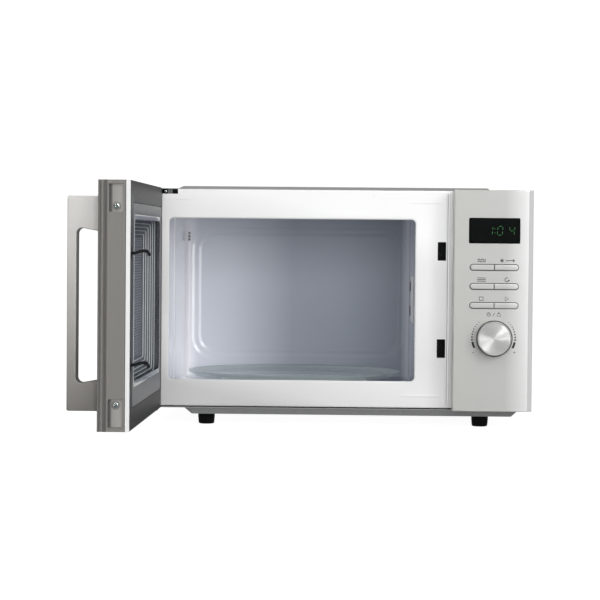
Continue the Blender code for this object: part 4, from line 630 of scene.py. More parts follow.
def cabinetTop(x, y):
    # the top's raised field: two smooth steps across and two along, multiplied
    return (cabinet["rise"] * step((x + 196) / 10.4) * step((187 - x) / 6.0)
            * step((y - 24) / 10.0) * step((298 - y) / 10.0))


def makeCabinet():
    side, low, top, edge = cabinet["side"], cabinet["low"], cabinet["top"], cabinet["edge"]
    bend = np.linspace(0, math.pi / 2, 7)
    up = np.linspace(low, top - edge, 40)[:-1]
    across = np.unique(np.concatenate([np.linspace(-side + edge, side - edge, 60),
                                       np.linspace(-198, -183, 16), np.linspace(179, 189, 12)]))[1:-1]
    x = np.concatenate([np.full(len(up), -side), -side + edge * (1 - np.cos(bend)), across,
                        side - edge * (1 - np.cos(bend[::-1])), np.full(len(up), side)])
    z = np.concatenate([up, top - edge + edge * np.sin(bend), np.full(len(across), top),
                        top - edge + edge * np.sin(bend[::-1]), up[::-1]])
    y = np.unique(np.concatenate([np.linspace(cabinet["front"], cabinet["rear"], 50),
                                  np.linspace(22, 36, 14), np.linspace(286, 300, 14), [2.2, 3.4]]))
    rows = np.stack([np.broadcast_to(x, (len(y), len(x))), np.broadcast_to(y[:, None], (len(y), len(x))),
                     np.broadcast_to(z, (len(y), len(x)))], -1).copy()
    flat = rows[..., 2] > top - 0.01
    rows[..., 2] += np.where(flat, cabinetTop(rows[..., 0], rows[..., 1]), 0.0)
    # each side has a shallow sunk field
    sunk = (step((rows[..., 2] - 40) / 8) * step((262 - rows[..., 2]) / 8)
            * step((rows[..., 1] - 24) / 8) * step((300 - rows[..., 1]) / 8))
    wall = np.abs(rows[..., 0]) > side - 0.01
    rows[..., 0] -= np.where(wall, np.sign(rows[..., 0]) * 0.9 * sunk, 0.0)
    made = show("cabinet", gridMesh("cabinet", rows), "cabinet_paint", stands=("outer_cabinet",))
    solid(made, 0.9, -1.0)
    tools = []
    vents = cabinet["vents"]
    for row in range(vents["rows"]):
        for start in vents["starts"]:
            low = vents["low"] + row * vents["pitch"]
            tools.append(brick((222, 242), (start, start + vents["long"]), (low, low + vents["tall"]), 1.9,
                               0))
    cut(made, joined("cabinetTools", tools))


makeCabinet()
print("cabinet")

base = {"half": 230.6, "front": 5.0, "rear": 323.6, "rim": 22.0, "low": 13.7,
        "ribs": (-120, -60, 0, 60, 120, 170), "ventX": (118, 146), "ventY": range(110, 200, 9)}


def makeBase():
    x = np.unique(np.concatenate([np.linspace(-base["half"], base["half"], 110), np.linspace(-186, -172, 12),
                                  np.linspace(210, 223, 12)]))
    y = np.unique(np.concatenate([np.linspace(base["front"], base["rear"], 80), np.linspace(7, 19, 10)]))
    gx, gy = np.meshgrid(x, y)
    # the pan: straight slopes down to a flat floor, with shallow ribs pressed upwards
    pan = (np.clip((gx + 184.3) / 10.2, 0, 1) * np.clip((221 - gx) / 9.3, 0, 1)
           * np.clip((gy - 8) / 9.8, 0, 1) * np.clip((317 - gy) / 9.8, 0, 1))
    ribs = 0.0
    for at in base["ribs"]:
        ribs = ribs + np.exp(-((gx - at) / 3.2) ** 2) * step((gy - 60) / 12) * step((260 - gy) / 12)
    gz = base["rim"] - (base["rim"] - base["low"]) * pan + 1.6 * ribs * pan
    made = show("basePan", gridMesh("basePan", np.stack([gx, gy, gz], -1)), "zinc_steel",
                stands=("base_plate",))
    solid(made, 1.0, 1.0)
    tools = [brick((x, x + 22), (y, y + 4), (5, 30), 1.9, 2) for x in base["ventX"] for y in base["ventY"]]
    cut(made, joined("baseTools", tools))


makeBase()
print("base")

# feet: a turned outline each
footPlaces = {"foot_front_left": (-158.0, 45.0), "foot_front_right": (175.5, 45.0),
              "foot_rear_left": (-158.0, 275.0), "foot_rear_right": (175.5, 275.0)}
footShape = [(0, 13.3), (10.4, 13.3), (10.5, 12.7), (10.35, 11.2), (10.0, 10.9), (10.0, 10.2), (10.3, 9.9),
             (9.6, 2.0), (9.3, 0.9), (8.6, 0.2), (7.8, 0.0), (6.2, 0.0), (5.8, 0.5), (5.2, 1.6), (0, 1.6)]
for name, (x, y) in footPlaces.items():
    show(name.replace("_", " ").title().replace(" ", ""), lathe(footShape, (x, y, 0)), "foot_rubber",
         stands=(name,))


def makeHinge(name, low, high, pinLow, pinHigh, flange, stands):
    tab = brick((-228.3, -213.3), (-21.3, 3.2), (low, high), 7.0, 2)
    pin = lathe([(0, pinLow), (2.6, pinLow), (3.0, pinLow + 0.5), (3.0, pinHigh - 0.5), (2.6, pinHigh),
                 (0, pinHigh)],
                hingeLine, steps=40)
    back = brick((-227.3, -214.3), (1.5, 3.2), flange, 1.5, 1)
    made = show(name, tab, "black_plastic", stands=stands)
    cut(made, pin, "UNION")
    cut(made, back, "UNION")
    bevel(made, 0.25)


makeHinge("hingeUpper", 280.5, 283.0, 266.5, 282.6, (249.0, 282.0), ("upper_hinge",))
makeHinge("hingeLower", 19.5, 22.0, 20.0, 36.0, (21.0, 56.0), ("lower_hinge",))
clip = brick((-204.2, -198.2), (2.4, 9.0), (279.6, 284.6), 1.0, 1, name="hingeClip")
show("hingeClip", joined("hingeClip", [clip, screwHead((-206.5, 2.4, 282.0), 1.6, 1, -1)]), "chrome")
dark = brick((-209.0, -191.6), (9.2, 12.0), (276.5, 285.2), 0.5, 1, name="hingeShade")
show("hingeShade", dark, "black_plastic")
print("feet and hinges")

# seen from above: lip, groove, step and flat down the free edge, then the round nose at the hinge
doorEdge = {"free": 137.3, "face": -35.5, "back": -6.5, "low": 23.7, "top": 286.0, "nose": 11.7,
            "pocketTall": 29.5,
            "pockets": {"Low": (28.2, 51.5), "Top": (252.5, 258.6)}}  # each one's foot and its screw


hingeRoom = [(0, 279.3), (17.5, 279.3), (17.5, 300),
             (0, 300)]  # what the upper hinge's plate clears as the door turns


def bow(cx, cy, radius, start, end, count):
    # an arc's points, by degrees from start to end
    angle = np.radians(np.linspace(start, end, count))
    return np.stack([cx + radius * np.cos(angle), cy + radius * np.sin(angle)], 1)


def makeDoor():
    free, face, back = doorEdge["free"], doorEdge["face"], doorEdge["back"]
    edge = np.array([(free - 1.2, back), (free - 0.7, back - 0.5), (free - 0.6, back - 1.2),
                     (free - 0.9, -15.0), (free - 0.7, -23.2), (free - 0.1, -24.0), (free, -24.6),
                     (free, -28.4), (free - 0.2, -29.0), (free - 1.5, -29.6), (free - 1.7, -30.2),
                     (free - 1.6, -32.8), (free - 0.3, -33.7), (free, -34.1)])
    outline = np.concatenate([edge, bow(free - 1.3, face + 1.3, 1.3, 0, -90, 6),
                              bow(-232.5 + 3, face + 3, 3, -90, -180, 8),
                              bow(*hingeLine[:2], doorEdge["nose"], 180, 90, 14),
                              [(-212.3, -2.3), (-212.3, back)]])
    rows = np.stack([atZ(outline, z) for z in (doorEdge["low"], doorEdge["top"])])
    made = show("doorBody", gridMesh("doorBody", rows, closeV=True, capStart=True, capEnd=True, door=True),
                "door_moulding", "door", stands=("door_frame",))
    tools = [brick((-205.0, 130.3), (-33.0, 10.0), (26.2, 283.5), 0.0, door=True),
             brick((-177.5, 52.3), (-50, -25), (73.7, 236.0), 8.0, door=True)]
    for low, _ in doorEdge["pockets"].values():
        tools.append(brick((133.3, 150), (-24.2, -8.6), (low, low + doorEdge["pocketTall"]), 1.2, 0,
                           door=True))
    tools.append(lathe(hingeRoom, hingeLine, door=True))
    tools.append(lathe([(0, 262), (3.5, 262), (3.5, 281), (0, 281)], hingeLine, door=True, steps=32))
    tools.append(lathe([(0, 10), (3.5, 10), (3.5, 40), (0, 40)], hingeLine, door=True, steps=32))
    for tool in tools:
        cut(made, tool)
    bevel(made, 0.35, 2)
    # a screw in each pocket, on a raised seat, and a dark plate on the pocket's floor as painted shade
    for end, (low, z) in doorEdge["pockets"].items():
        head = screwHead((134.0, -16.2, z), 3.1, 0, 1, door=True)
        show("pocketScrew" + end, head, "chrome", "door")
        pocketShadePlate = brick((133.31, 133.6), (-24.0, -8.8), (low + 0.2, low + doorEdge["pocketTall"] - 0.2),
                           1.0, 0, door=True)
        show("pocketFloor" + end, pocketShadePlate, "pocket_shade", "door")
        seat = lathe([(0, 0), (4.6, 0), (4.6, 0.5), (4.2, 0.8), (0, 0.8)], (133.4, -16.2, z), axis=0,
                     door=True, steps=32)
        show("pocketSeat" + end, seat, "door_moulding", "door")


makeDoor()

cover = {"outer": (-212.0, 136.2, 23.7, 286.0), "recess": (-203.2, 107.7, 46.6, 263.0)}


def makeCover():
    # a ring of rounded loops: back, outer edge, face, film recess, hole, and back again
    x0, x1, z0, z1 = cover["outer"]
    recess = cover["recess"]
    rows = []
    for inset, y in ((0.0, -6.2), (0.0, -5.9), (0.0, -2.6), (0.12, -2.0), (0.45, -1.62), (0.9, -1.5)):
        rows.append(atY(roundLoop(x0 + inset, x1 - inset, z0 + inset, z1 - inset, 1.2, 6, 24), y))
    a = np.array((x0 + 6, x1 - 6, z0 + 6, z1 - 6))
    rows.append(atY(roundLoop(*a, 6, 6, 24), -1.5))
    for grow, y in ((0.6, -1.5), (0.15, -1.62), (0.0, -1.9), (0.0, -2.9), (-5.8, -2.9), (-6.0, -3.1),
                    (-6.0, -6.0), (-5.8, -6.2)):
        rows.append(atY(roundLoop(recess[0] - grow, recess[1] + grow, recess[2] - grow, recess[3] + grow,
                                  9.3 + grow, 6, 24), y))
    made = show("doorCover", gridMesh("doorCover", rows, closeU=True, closeV=True, door=True),
                "cover_moulding", "door", stands=("door_cover",))
    tools = [brick((121.4, 128.0), (-20, 10), (z + 0.8, z + 15.2), 0.8, door=True) for z in plate["slotLow"]]
    tools.append(lathe(hingeRoom, hingeLine, door=True))
    for tool in tools:
        cut(made, tool)


makeCover()
trim = brick((136.3, 137.3), (-6.2, -1.5), (23.7, 286.0), 0.0, 2, door=True)
trim = show("doorTrim", trim, "trim_white", "door")
bevel(trim, 0.4, 3)

# the film: a silver border, a black printed ring and a clear middle, each its own sheet
film = {"outer": (-202.8, 107.3, 47.0, 262.6), "window": (-189.0, 99.0, 67.5, 250.7),
        "black": (-184.0, 94.0, 72.5, 245.7)}


def flatRing(name, outer, outerRadius, inner, innerRadius, front, thick):
    # a flat ring between two rounded loops, with softened outer edges
    def loop(edge, radius, inset, y):
        return atY(roundLoop(edge[0] + inset, edge[1] - inset, edge[2] + inset, edge[3] - inset,
                             radius - inset, 10, 12), y)

    rows = [loop(outer, outerRadius, 0.0, front - thick), loop(outer, outerRadius, 0.0, front - 0.2),
            loop(outer, outerRadius, 0.2, front), loop(inner, innerRadius, -0.2, front),
            loop(inner, innerRadius, 0.0, front - 0.05), loop(inner, innerRadius, 0.0, front - thick)]
    return gridMesh(name, rows, closeU=True, closeV=True, door=True)


made = finishes["film_black"] = Finish("filmBlack", (0.006, 0.006, 0.007), 0.10, Coat_Weight=1.0,
                                       Coat_Roughness=0.03)
made.mottle(20, 0.2).haze(14, 0.05)
show("filmBorder", flatRing("filmBorder", film["outer"], 9.0, film["window"], 7.0, -1.65, 0.8),
     "window_film", "door", stands=("door_film",))
show("filmBlack", flatRing("filmBlack", film["window"], 6.9, film["black"], 8.0, -1.68, 0.7), "film_black",
     "door")
pane = [atY(roundLoop(*film["black"], 7.9, 10, 12), y) for y in (-1.7, -2.3)]
show("filmClear", gridMesh("filmClear", pane, closeV=True, capStart=True, capEnd=True, door=True),
     "clear_glass", "door")

# the outer pane, with a small round at its rim
glass = {"edge": (-185.5, 60.3, 65.7, 244.0), "near": -32.7, "far": -29.5}
rows = [atY(roundLoop(glass["edge"][0] + i, glass["edge"][1] - i, glass["edge"][2] + i, glass["edge"][3] - i,
                      3, 6), y)
        for i,
        y in ((0.4, glass["near"]), (0.0, glass["near"] + 0.4), (0.0, glass["far"] - 0.4),
              (0.4, glass["far"]))]
show("outerPane", gridMesh("outerPane", rows, closeV=True, capStart=True, capEnd=True, door=True),
     "clear_glass", "door", stands=("door_glass",))

# the perforated screen: square tiles, each with a round hole through it, in a tray of pressed steps
screen = {"edge": (-204.0, 110.3, 27.2, 282.5), "field": (-84.0, 90.0, 94.0, 226.0),
          "steps": (-190.0, 98.0, 69.0, 250.0), "pitch": 3.0, "hole": 1.0, "y": -12.5, "rim": -6.8,
          "count": 6, "tall": 0.8, "slope": 0.5}


def makeScreen():
    pitch = screen["pitch"]
    x0, x1, z0, z1 = screen["field"]
    nx, nz = int((x1 - x0) / pitch), int((z1 - z0) / pitch)
    # eight points of the square and eight of the circle, repeated at every tile
    angle = np.arange(8) * math.pi / 4
    square = np.stack([np.clip(np.cos(angle) * 1.5, -1, 1), np.clip(np.sin(angle) * 1.5, -1, 1)],
                      1) * pitch / 2
    circle = np.stack([np.cos(angle), np.sin(angle)], 1) * screen["hole"]
    tile = np.concatenate([square, circle])
    cx = x0 + pitch * (np.arange(nx) + 0.5)
    cz = z0 + pitch * (np.arange(nz) + 0.5)
    centre = np.stack(np.meshgrid(cx, cz), -1).reshape(-1, 1, 2)
    flat = centre + tile
    spots = np.stack([flat[..., 0], np.full(flat.shape[:2], screen["y"]), flat[..., 1]], -1)
    k = np.arange(8)
    quad = np.stack([k, (k + 1) % 8, 8 + (k + 1) % 8, 8 + k], 1)
    faces = (quad[None] + 16 * np.arange(len(centre))[:, None, None]).reshape(-1, 4)
    mesh = bpy.data.meshes.new("doorMesh")
    mesh.from_pydata(toRow(spots.reshape(-1, 3), True).tolist(), [], faces.tolist())
    inner = (x0, x0 + nx * pitch, z0, z0 + nz * pitch)
    # pressed steps: flats that rise from the holes to the rim, with narrow risers between them; the flats are
    # painted near black as shade and the risers bright as a painted highlight
    outer = np.array(screen["steps"])
    count, tall, slope = screen["count"], screen["tall"], screen["slope"]
    flats, risers = [], []
    for k in range(count):
        near, far = (np.array(inner) * (1 - s) + outer * s for s in (k / count, (k + 1) / count))
        y = screen["y"] + tall * k
        loops = [roundLoop(*near, 2 + 2 * k, 6, 8),
                 roundLoop(*(far + np.array([1, -1, 1, -1]) * slope), 4 + 2 * k, 6, 8),
                 roundLoop(*far, 4 + 2 * k, 6, 8)]
        flats.append(gridMesh("flat", [atY(loops[0], y), atY(loops[1], y)], closeV=True, door=True))
        risers.append(gridMesh("riser", [atY(loops[1], y), atY(loops[2], y + tall)], closeV=True, door=True))
    top = screen["y"] + tall * count
    rim = [atY(roundLoop(*outer, 2 + 2 * count, 6, 8), top)]
    for inset, y in ((1.2, top), (0.4, top + 0.1), (0.0, top + 0.3), (0.0, screen["rim"])):
        e = screen["edge"]
        rim.append(atY(roundLoop(e[0] + inset, e[1] - inset, e[2] + inset, e[3] - inset, 3, 6, 8), y))
    flats.append(gridMesh("rim", rim, closeV=True, door=True))
    show("doorMesh", mesh, "screen_black", "door", stands=("door_screen",))
    show("doorMeshFlats", joined("doorMeshFlats", flats), "screen_dark", "door",
         angle=12)
    show("doorMeshRisers", joined("doorMeshRisers", risers), "screen_gloss", "door",
         angle=60)


makeScreen()
print("door body, cover, film and screen")


handle = {"x": (93.0, 117.0), "z": (43.8, 269.4), "seat": -35.8, "front": -70.0, "bar": 9.7, "foot": 29.2,
          "head": 33.6, "round": 6.0}


def makeHandle():
    # a D seen from the side: a bar, and a foot and head that reach the door
    low, high = handle["z"]
    seat, front, r = handle["seat"], handle["front"], handle["round"]
    inner = front + handle["bar"]
    hole = (low + handle["foot"], high - handle["head"])
    outline = np.concatenate([[(seat, low)], bow(front + 2.0, low + 2.0, 2.0, 270, 180, 7),
                              bow(front + 2.0, high - 2.0, 2.0, 180, 90, 7),
                              [(seat, high), (seat, hole[1] - 3.5)],
                              bow(inner + r, hole[1] - r, r, 95, 180, 9),
                              bow(inner + r, hole[0] + r, r, 180, 265, 9), [(seat, hole[0] + 3.5)]])
    rows = np.stack([np.insert(outline, 0, x, axis=1) for x in handle["x"]])
    made = show("handle", gridMesh("handle", rows, closeV=True, capStart=True, capEnd=True, door=True),
                "handle_metal", "door", stands=("door_handle",))
    bevel(made, 1.1, 4, 50)


makeHandle()

latch = {"bar": ((121.7, 127.7), (-24, -18), (75.1, 234.0)), "hookX": (122.2, 127.2),
         "hookLow": (86.5, 203.1), "turns": 6, "coil": 2.8, "wire": 0.5, "foot": 234.9, "head": 251.7,
         "lift": 4.0}


def makeLatch():
    # hooks cut from sheet: an outline in depth and height, given thickness, on one long bar
    meshes = []
    for z in latch["hookLow"]:
        # a slim arm that waves up towards a short barb
        middle = np.array([(-21.0, z + 7.6), (-10.0, z + 6.6), (-3.0, z + 6.2), (3.0, z + 7.0),
                           (8.0, z + 8.6), (12.0, z + 9.2), (15.5, z + 8.4)])
        half = np.array([2.2, 1.9, 1.7, 1.6, 1.6, 1.7, 1.9])
        barb = [(18.2, z + 6.8), (18.8, z + 4.6), (17.4, z + 3.6), (15.6, z + 4.4)]
        outline = np.concatenate([np.stack([middle[:, 0], middle[:, 1] + half], 1), barb,
                                  np.stack([middle[:, 0], middle[:, 1] - half], 1)[::-1]])
        rows = np.stack([np.insert(outline, 0, x, axis=1) for x in latch["hookX"]])
        meshes.append(gridMesh("hook", rows, closeV=True, capStart=True, capEnd=True, door=True))
    made = show("latchBar", brick(*latch["bar"], 0.8, 2, door=True), "black_plastic", "latch",
                stands=("latch_slider",))
    for mesh in meshes:
        cut(made, mesh, "UNION")
    bevel(made, 0.4, 2)


def makeSpring():
    # a helix from its foot over the bar up to its head; the whole coil rides on the door
    foot, head = latch["foot"], latch["head"]
    turns = np.linspace(0, latch["turns"] * 2 * math.pi, 200)
    coil = np.stack([124.7 + latch["coil"] * np.cos(turns), -21.0 + latch["coil"] * np.sin(turns),
                     foot + (head - foot) * turns / turns[-1]], 1)
    made = show("latchSpring", tube(coil, latch["wire"], 8, door=True), "spring_steel", "door",
                stands=("latch_spring",))
    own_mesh(made)


makeLatch()
makeSpring()
print("handle and latch")

panel = {"x": (138.6, 232.5), "z": (23.7, 286.0), "face": -35.5, "middle": 186.35, "edge": 5.4,
         "knobZ": 111.1, "keyHalf": 3.3, "holeHalf": 4.1, "keyReach": 29.1}
buttonRows = [194.5, 171.95, 149.4]
buttonNames = [("button_mode", "button_defrost"), ("button_menu", "button_reheat"),
               ("button_stop", "button_start")]


def pill(x0, x1, z, half, side, steps=8):
    # a half pill: square at one end and round at the other, always with the same number of points
    r = half * 0.96
    if side > 0:
        return np.concatenate([bow(x1 - r, z - half + r, r, -90, 0, steps),
                               bow(x1 - r, z + half - r, r, 0, 90, steps),
                               bow(x0 + 0.3, z + half - 0.3, 0.3, 90, 180, 3),
                               bow(x0 + 0.3, z - half + 0.3, 0.3, 180, 270, 3)])
    return np.concatenate([bow(x1 - 0.3, z - half + 0.3, 0.3, -90, 0, 3),
                           bow(x1 - 0.3, z + half - 0.3, 0.3, 0, 90, 3),
                           bow(x0 + r, z + half - r, r, 90, 180, steps),
                           bow(x0 + r, z - half + r, r, 180, 270, steps)])


buttons = {}
for level, names in zip(buttonRows, buttonNames):
    buttons[names[0]] = (panel["middle"] - panel["keyReach"], panel["middle"] - 0.5, level, -1)
    buttons[names[1]] = (panel["middle"] + 0.5, panel["middle"] + panel["keyReach"], level, 1)


def makePanel():
    x0, x1 = panel["x"]
    z0, z1 = panel["z"]
    face, edge = panel["face"], panel["edge"]
    rows = [atY(roundLoop(x0, x1, z0, z1, 0.6, 4, 6), -0.3)]
    # the right side turns to the face through a slope with soft ends; the other edges have a small round
    for t in np.linspace(0, 1, 12):
        right = edge * (0.15 * t ** 2 + 0.85 * float(step(t)))
        small = 0.7 * (1 - math.sqrt(max(0.0, 1 - max(0.0, (t * edge - edge + 0.7) / 0.7) ** 2)))
        rows.append(atY(roundLoop(x0 + small, x1 - right - small * 0.3, z0 + small, z1 - small, 0.6 + small,
                                  4, 6), face + edge * (1 - t)))
    rows.append(atY(roundLoop(x0 + 1.6, x1 - edge - 1.2, z0 + 1.6, z1 - 1.6, 1.0, 4, 6), face))
    made = show("panel", gridMesh("panel", rows, closeV=True, capStart=True, capEnd=True), "silver_moulding",
                stands=("control_panel",))
    middle = panel["middle"]
    tools = [brick((x0 + 2.2, x1 - edge), (face + 2.2, 10), (z0 + 2.2, z1 - 2.2)),
             brick((middle - 30.4, middle + 30.4), (face - 5, face + 5), (222.7, 253.1), 1.6, 1),
             lathe([(0, -10), (4.2, -10), (4.2, 10), (0, 10)], (middle, face, panel["knobZ"]), axis=1,
                   steps=40)]
    for bx0, bx1, z, side in buttons.values():
        inner = (0, 0.4) if side < 0 else (-0.4, 0)
        loop = pill(bx0 + inner[0], bx1 + inner[1], z, panel["holeHalf"], side)
        tools.append(gridMesh("hole", np.stack([atY(loop, face - 5), atY(loop, face + 5)]), closeV=True,
                              capStart=True, capEnd=True))
    for tool in tools:
        cut(made, tool)
    bevel(made, 0.18, 2, 50)
    # a black bed behind the keys, so that the gaps round them read as painted shade
    bed = brick((middle - 31.5, middle + 31.5), (-32.2, -31.2), (buttonRows[2] - 7, buttonRows[0] + 7), 1.0,
                1, name="keyBed")
    show("keyBed", bed, "black_plastic")


makePanel()

# the display's window and its digits
display = {"half": 30.1, "z": (223.0, 252.8),
           "shape": [(0.9, -33.3), (0.0, -33.3), (0.0, -35.0), (0.12, -35.15), (0.35, -35.2)],
           "digits": (("bc", 177.6), ("abcdef", 189.4), ("fgbc", 203.4)), "foot": 232.8, "wide": 5.8,
           "tall": 5.2, "lean": 0.5, "ink": -35.24}
keyMid = panel["middle"]
rows = [atY(roundLoop(keyMid - display["half"] + i, keyMid + display["half"] - i, display["z"][0] + i,
                      display["z"][1] - i, 1.3 - i * 0.5, 6), y)
        for i, y in display["shape"]]
show("displayPane", gridMesh("displayPane", rows, closeV=True, capStart=True, capEnd=True), "display_black",
     stands=("display_window",))


def ribbon(points, width, y, close=False):
    # a flat stroke: the path moved half a width to each side
    points = np.asarray(points, float)
    ahead = (np.roll(points, -1, 0) - np.roll(points, 1, 0)) if close else np.gradient(points, axis=0)
    ahead /= np.maximum(np.linalg.norm(ahead, axis=1), 1e-9)[:, None]
    side = np.stack([-ahead[:, 1], ahead[:, 0]], 1) * width / 2
    return gridMesh("stroke", np.stack([atY(points + side, y), atY(points - side, y)], 1), closeU=close)


def line(ax, az, bx, bz):
    # two ends and the point between them
    return [(ax, az), ((ax + bx) / 2, (az + bz) / 2), (bx, bz)]


# the seven bars of a digit, by their ends on a grid one wide and two high
segments = {"a": (0, 2, 1, 2), "b": (1, 2, 1, 1), "c": (1, 1, 1, 0), "d": (0, 0, 1, 0), "e": (0, 1, 0, 0),
            "f": (0, 2, 0, 1), "g": (0, 1, 1, 1)}
digitStrokes = []
for lit, left in display["digits"]:
    for key in lit:
        ax, az, bx, bz = segments[key]
        start = np.array((left + ax * display["wide"] + az * display["lean"],
                          display["foot"] + az * display["tall"]))
        end = np.array((left + bx * display["wide"] + bz * display["lean"],
                        display["foot"] + bz * display["tall"]))
        run = end - start
        digitStrokes.append(ribbon(line(*(start + run * 0.2), *(end - run * 0.2)), 0.62, display["ink"]))
for z in (235.6, 240.4):
    digitStrokes.append(ribbon(line(186.6, z - 0.4, 186.7, z + 0.4), 0.8, display["ink"]))
show("displayDigits", joined("displayDigits", digitStrokes), "digit")


# buttons: loops from the back to a softly domed face
def makeButtons():
    for name, (x0, x1, z, side) in buttons.items():
        rows = []
        for grow, y in ((0.0, -32.5), (0.0, -35.7), (-0.12, -36.05), (-0.45, -36.32), (-1.1, -36.4),
                        (-2.2, -36.4)):
            ends = (0.8, 0.0) if side < 0 else (0.0, 0.8)
            rows.append(atY(pill(x0 + ends[0] - grow, x1 - ends[1] + grow, z, panel["keyHalf"] + grow, side),
                            y))
        body = name.replace("button_", "") + "_key"
        mesh = joined(name, [gridMesh(name, rows, closeV=True, capStart=True, capEnd=True),
                             brick(((x0 + x1) / 2 - 2, (x0 + x1) / 2 + 2), (-32.6, -28.9), (z - 2, z + 2),
                                   0.4, 1)])
        show("key" + name.replace("button_", "").title(), mesh, "silver_moulding", body, stands=(name,))


makeButtons()

# knob: fine round grooves on the face, each a smooth wave, so that light fans out across them
knob = {"face": -54.9, "flat": 18.4, "rows": 420, "pitch": 0.4, "depth": 0.02}


def makeKnob():
    r = np.linspace(0.0, knob["flat"], knob["rows"])
    wave = knob["depth"] * np.sin(2 * math.pi * r / knob["pitch"])
    faceRows = [(a, knob["face"] - b) for a, b in zip(r, wave)]
    profile = faceRows + [(18.6, -54.9), (18.9, -55.2), (19.3, -55.5), (19.7, -55.45), (20.15, -54.9),
                          (20.2, -53.6), (20.9, -53.4), (20.95, -52.0), (20.95, -38.2), (20.8, -37.2),
                          (20.4, -36.4), (19.8, -36.15), (3.4, -36.15), (3.3, -36.4), (3.3, -47.9),
                          (0.0, -48.0)]
    # a black band round the knob's rim: painted shade and dark reflection at the knob's edge
    band = [(20.25, -53.5), (20.25, -54.6), (20.5, -54.8), (20.9, -54.7), (21.2, -54.3), (21.25, -53.6),
            (21.25, -50.5), (20.98, -50.4), (20.95, -53.3)]
    show("knobBand", lathe(band, (keyMid, 0, panel["knobZ"]), axis=1, steps=128, closed=True),
         "black_plastic", "knob")
    show("knob", lathe(profile, (keyMid, 0, panel["knobZ"]), axis=1, steps=128), "knob_metal", "knob",
         stands=("control_knob",), angle=28)


makeKnob()
print("panel, buttons and knob")

# printed marks: dots that grow, a thick dash, minus and plus, and small signs in place of words
marks = []
markY = -35.54
dial = {"dots": 8, "from": 46, "to": -5, "reach": 25.6, "size": 0.55, "growth": 0.08, "dash": (-11, -28),
        "dashReach": 25.4}
for side in (-1, 1):
    for count, angle in enumerate(np.linspace(dial["from"], dial["to"], dial["dots"])):
        a = math.radians(angle)
        x, z = keyMid + side * dial["reach"] * math.cos(a), panel["knobZ"] + dial["reach"] * math.sin(a)
        size = dial["size"] + dial["growth"] * count
        ring = bow(x, z, size, 0, 360, 13)[:-1]
        marks.append(gridMesh("dot",
                              np.stack([atY(ring, markY),
                                        atY(ring * 0.02 + np.array((x, z)) * 0.98, markY)]), closeV=True))
    arc = bow(keyMid, panel["knobZ"], dial["dashReach"], *dial["dash"], 12)
    if side < 0:
        arc[:, 0] = 2 * keyMid - arc[:, 0]
    marks.append(ribbon(arc, 2.5, markY))
marks.append(ribbon(line(keyMid - 25.4, 93.7, keyMid - 22.6, 93.7), 0.45, markY))
marks.append(ribbon(line(keyMid + 23.2, 94.2, keyMid + 26.0, 94.2), 0.45, markY))
marks.append(ribbon(line(keyMid + 24.6, 92.8, keyMid + 24.6, 95.6), 0.45, markY))


def circle(x, z, radius, start=0, end=360, count=24):
    return bow(x, z, radius, start, end, count)


def signs():
    thin = 0.8
    z = [level + 8.2 for level in buttonRows]
    left, right = keyMid - 15.0, keyMid + 15.0
    # power levels: two waves
    for k in (-1.1, 1.1):
        x = np.linspace(-5.0, 5.0, 32)
        marks.append(ribbon(np.stack([left + x, z[0] + k + 0.6 * np.sin(x * 1.5)], 1), thin, markY))
    # thawing: a six-armed star, then an arrow
    for k in range(3):
        a = math.radians(60 * k + 30)
        arm = np.array((2.3 * math.cos(a), 2.3 * math.sin(a)))
        marks.append(ribbon(line(right - 6 - arm[0], z[0] - arm[1], right - 6 + arm[0], z[0] + arm[1]), thin,
                            markY))
    marks.append(ribbon(line(right - 1.6, z[0], right + 9.0, z[0]), thin, markY))
    marks.append(ribbon([(right + 6.8, z[0] + 1.6), (right + 9.0, z[0]), (right + 6.8, z[0] - 1.6)], thin,
                        markY))
    # menu: three lines
    for k in (-1.9, 0, 1.9):
        marks.append(ribbon(line(left - 5.0, z[1] + k, left + 5.0, z[1] + k), thin, markY))
    # warming again: a turned arrow
    marks.append(ribbon(circle(right, z[1], 2.3, 60, 350), thin, markY))
    marks.append(ribbon([(right + 1.0, z[1] - 0.8), (right + 2.3, z[1] - 0.3), (right + 3.2, z[1] - 1.5)],
                        thin, markY))
    # stop and start
    marks.append(ribbon([(left - 2.2, z[2] - 2.0), (left + 2.2, z[2] - 2.0), (left + 2.2, z[2] + 2.0),
                         (left - 2.2, z[2] + 2.0)],
                        thin, markY, close=True))
    marks.append(ribbon([(right - 1.9, z[2] - 2.2), (right + 2.5, z[2]), (right - 1.9, z[2] + 2.2)], thin,
                        markY, close=True))
    # over the knob: a clock and a weight
    top = panel["knobZ"] + 27.8
    marks.append(ribbon(circle(keyMid - 6, top, 2.1), 0.6, markY))
    marks.append(ribbon([(keyMid - 6, top + 1.4), (keyMid - 6, top), (keyMid - 4.9, top)], 0.6, markY))
    marks.append(ribbon(line(keyMid - 1.2, top - 2.0, keyMid + 1.0, top + 2.0), 0.6, markY))
    marks.append(ribbon([(keyMid + 3.6, top - 1.9), (keyMid + 8.2, top - 1.9), (keyMid + 7.4, top + 1.0),
                         (keyMid + 4.4, top + 1.0)], 0.6, markY, close=True))
    marks.append(ribbon(circle(keyMid + 5.9, top + 1.7, 0.7), 0.5, markY))


signs()
show("panelMarks", joined("panelMarks", marks), "ink")
print("marks")


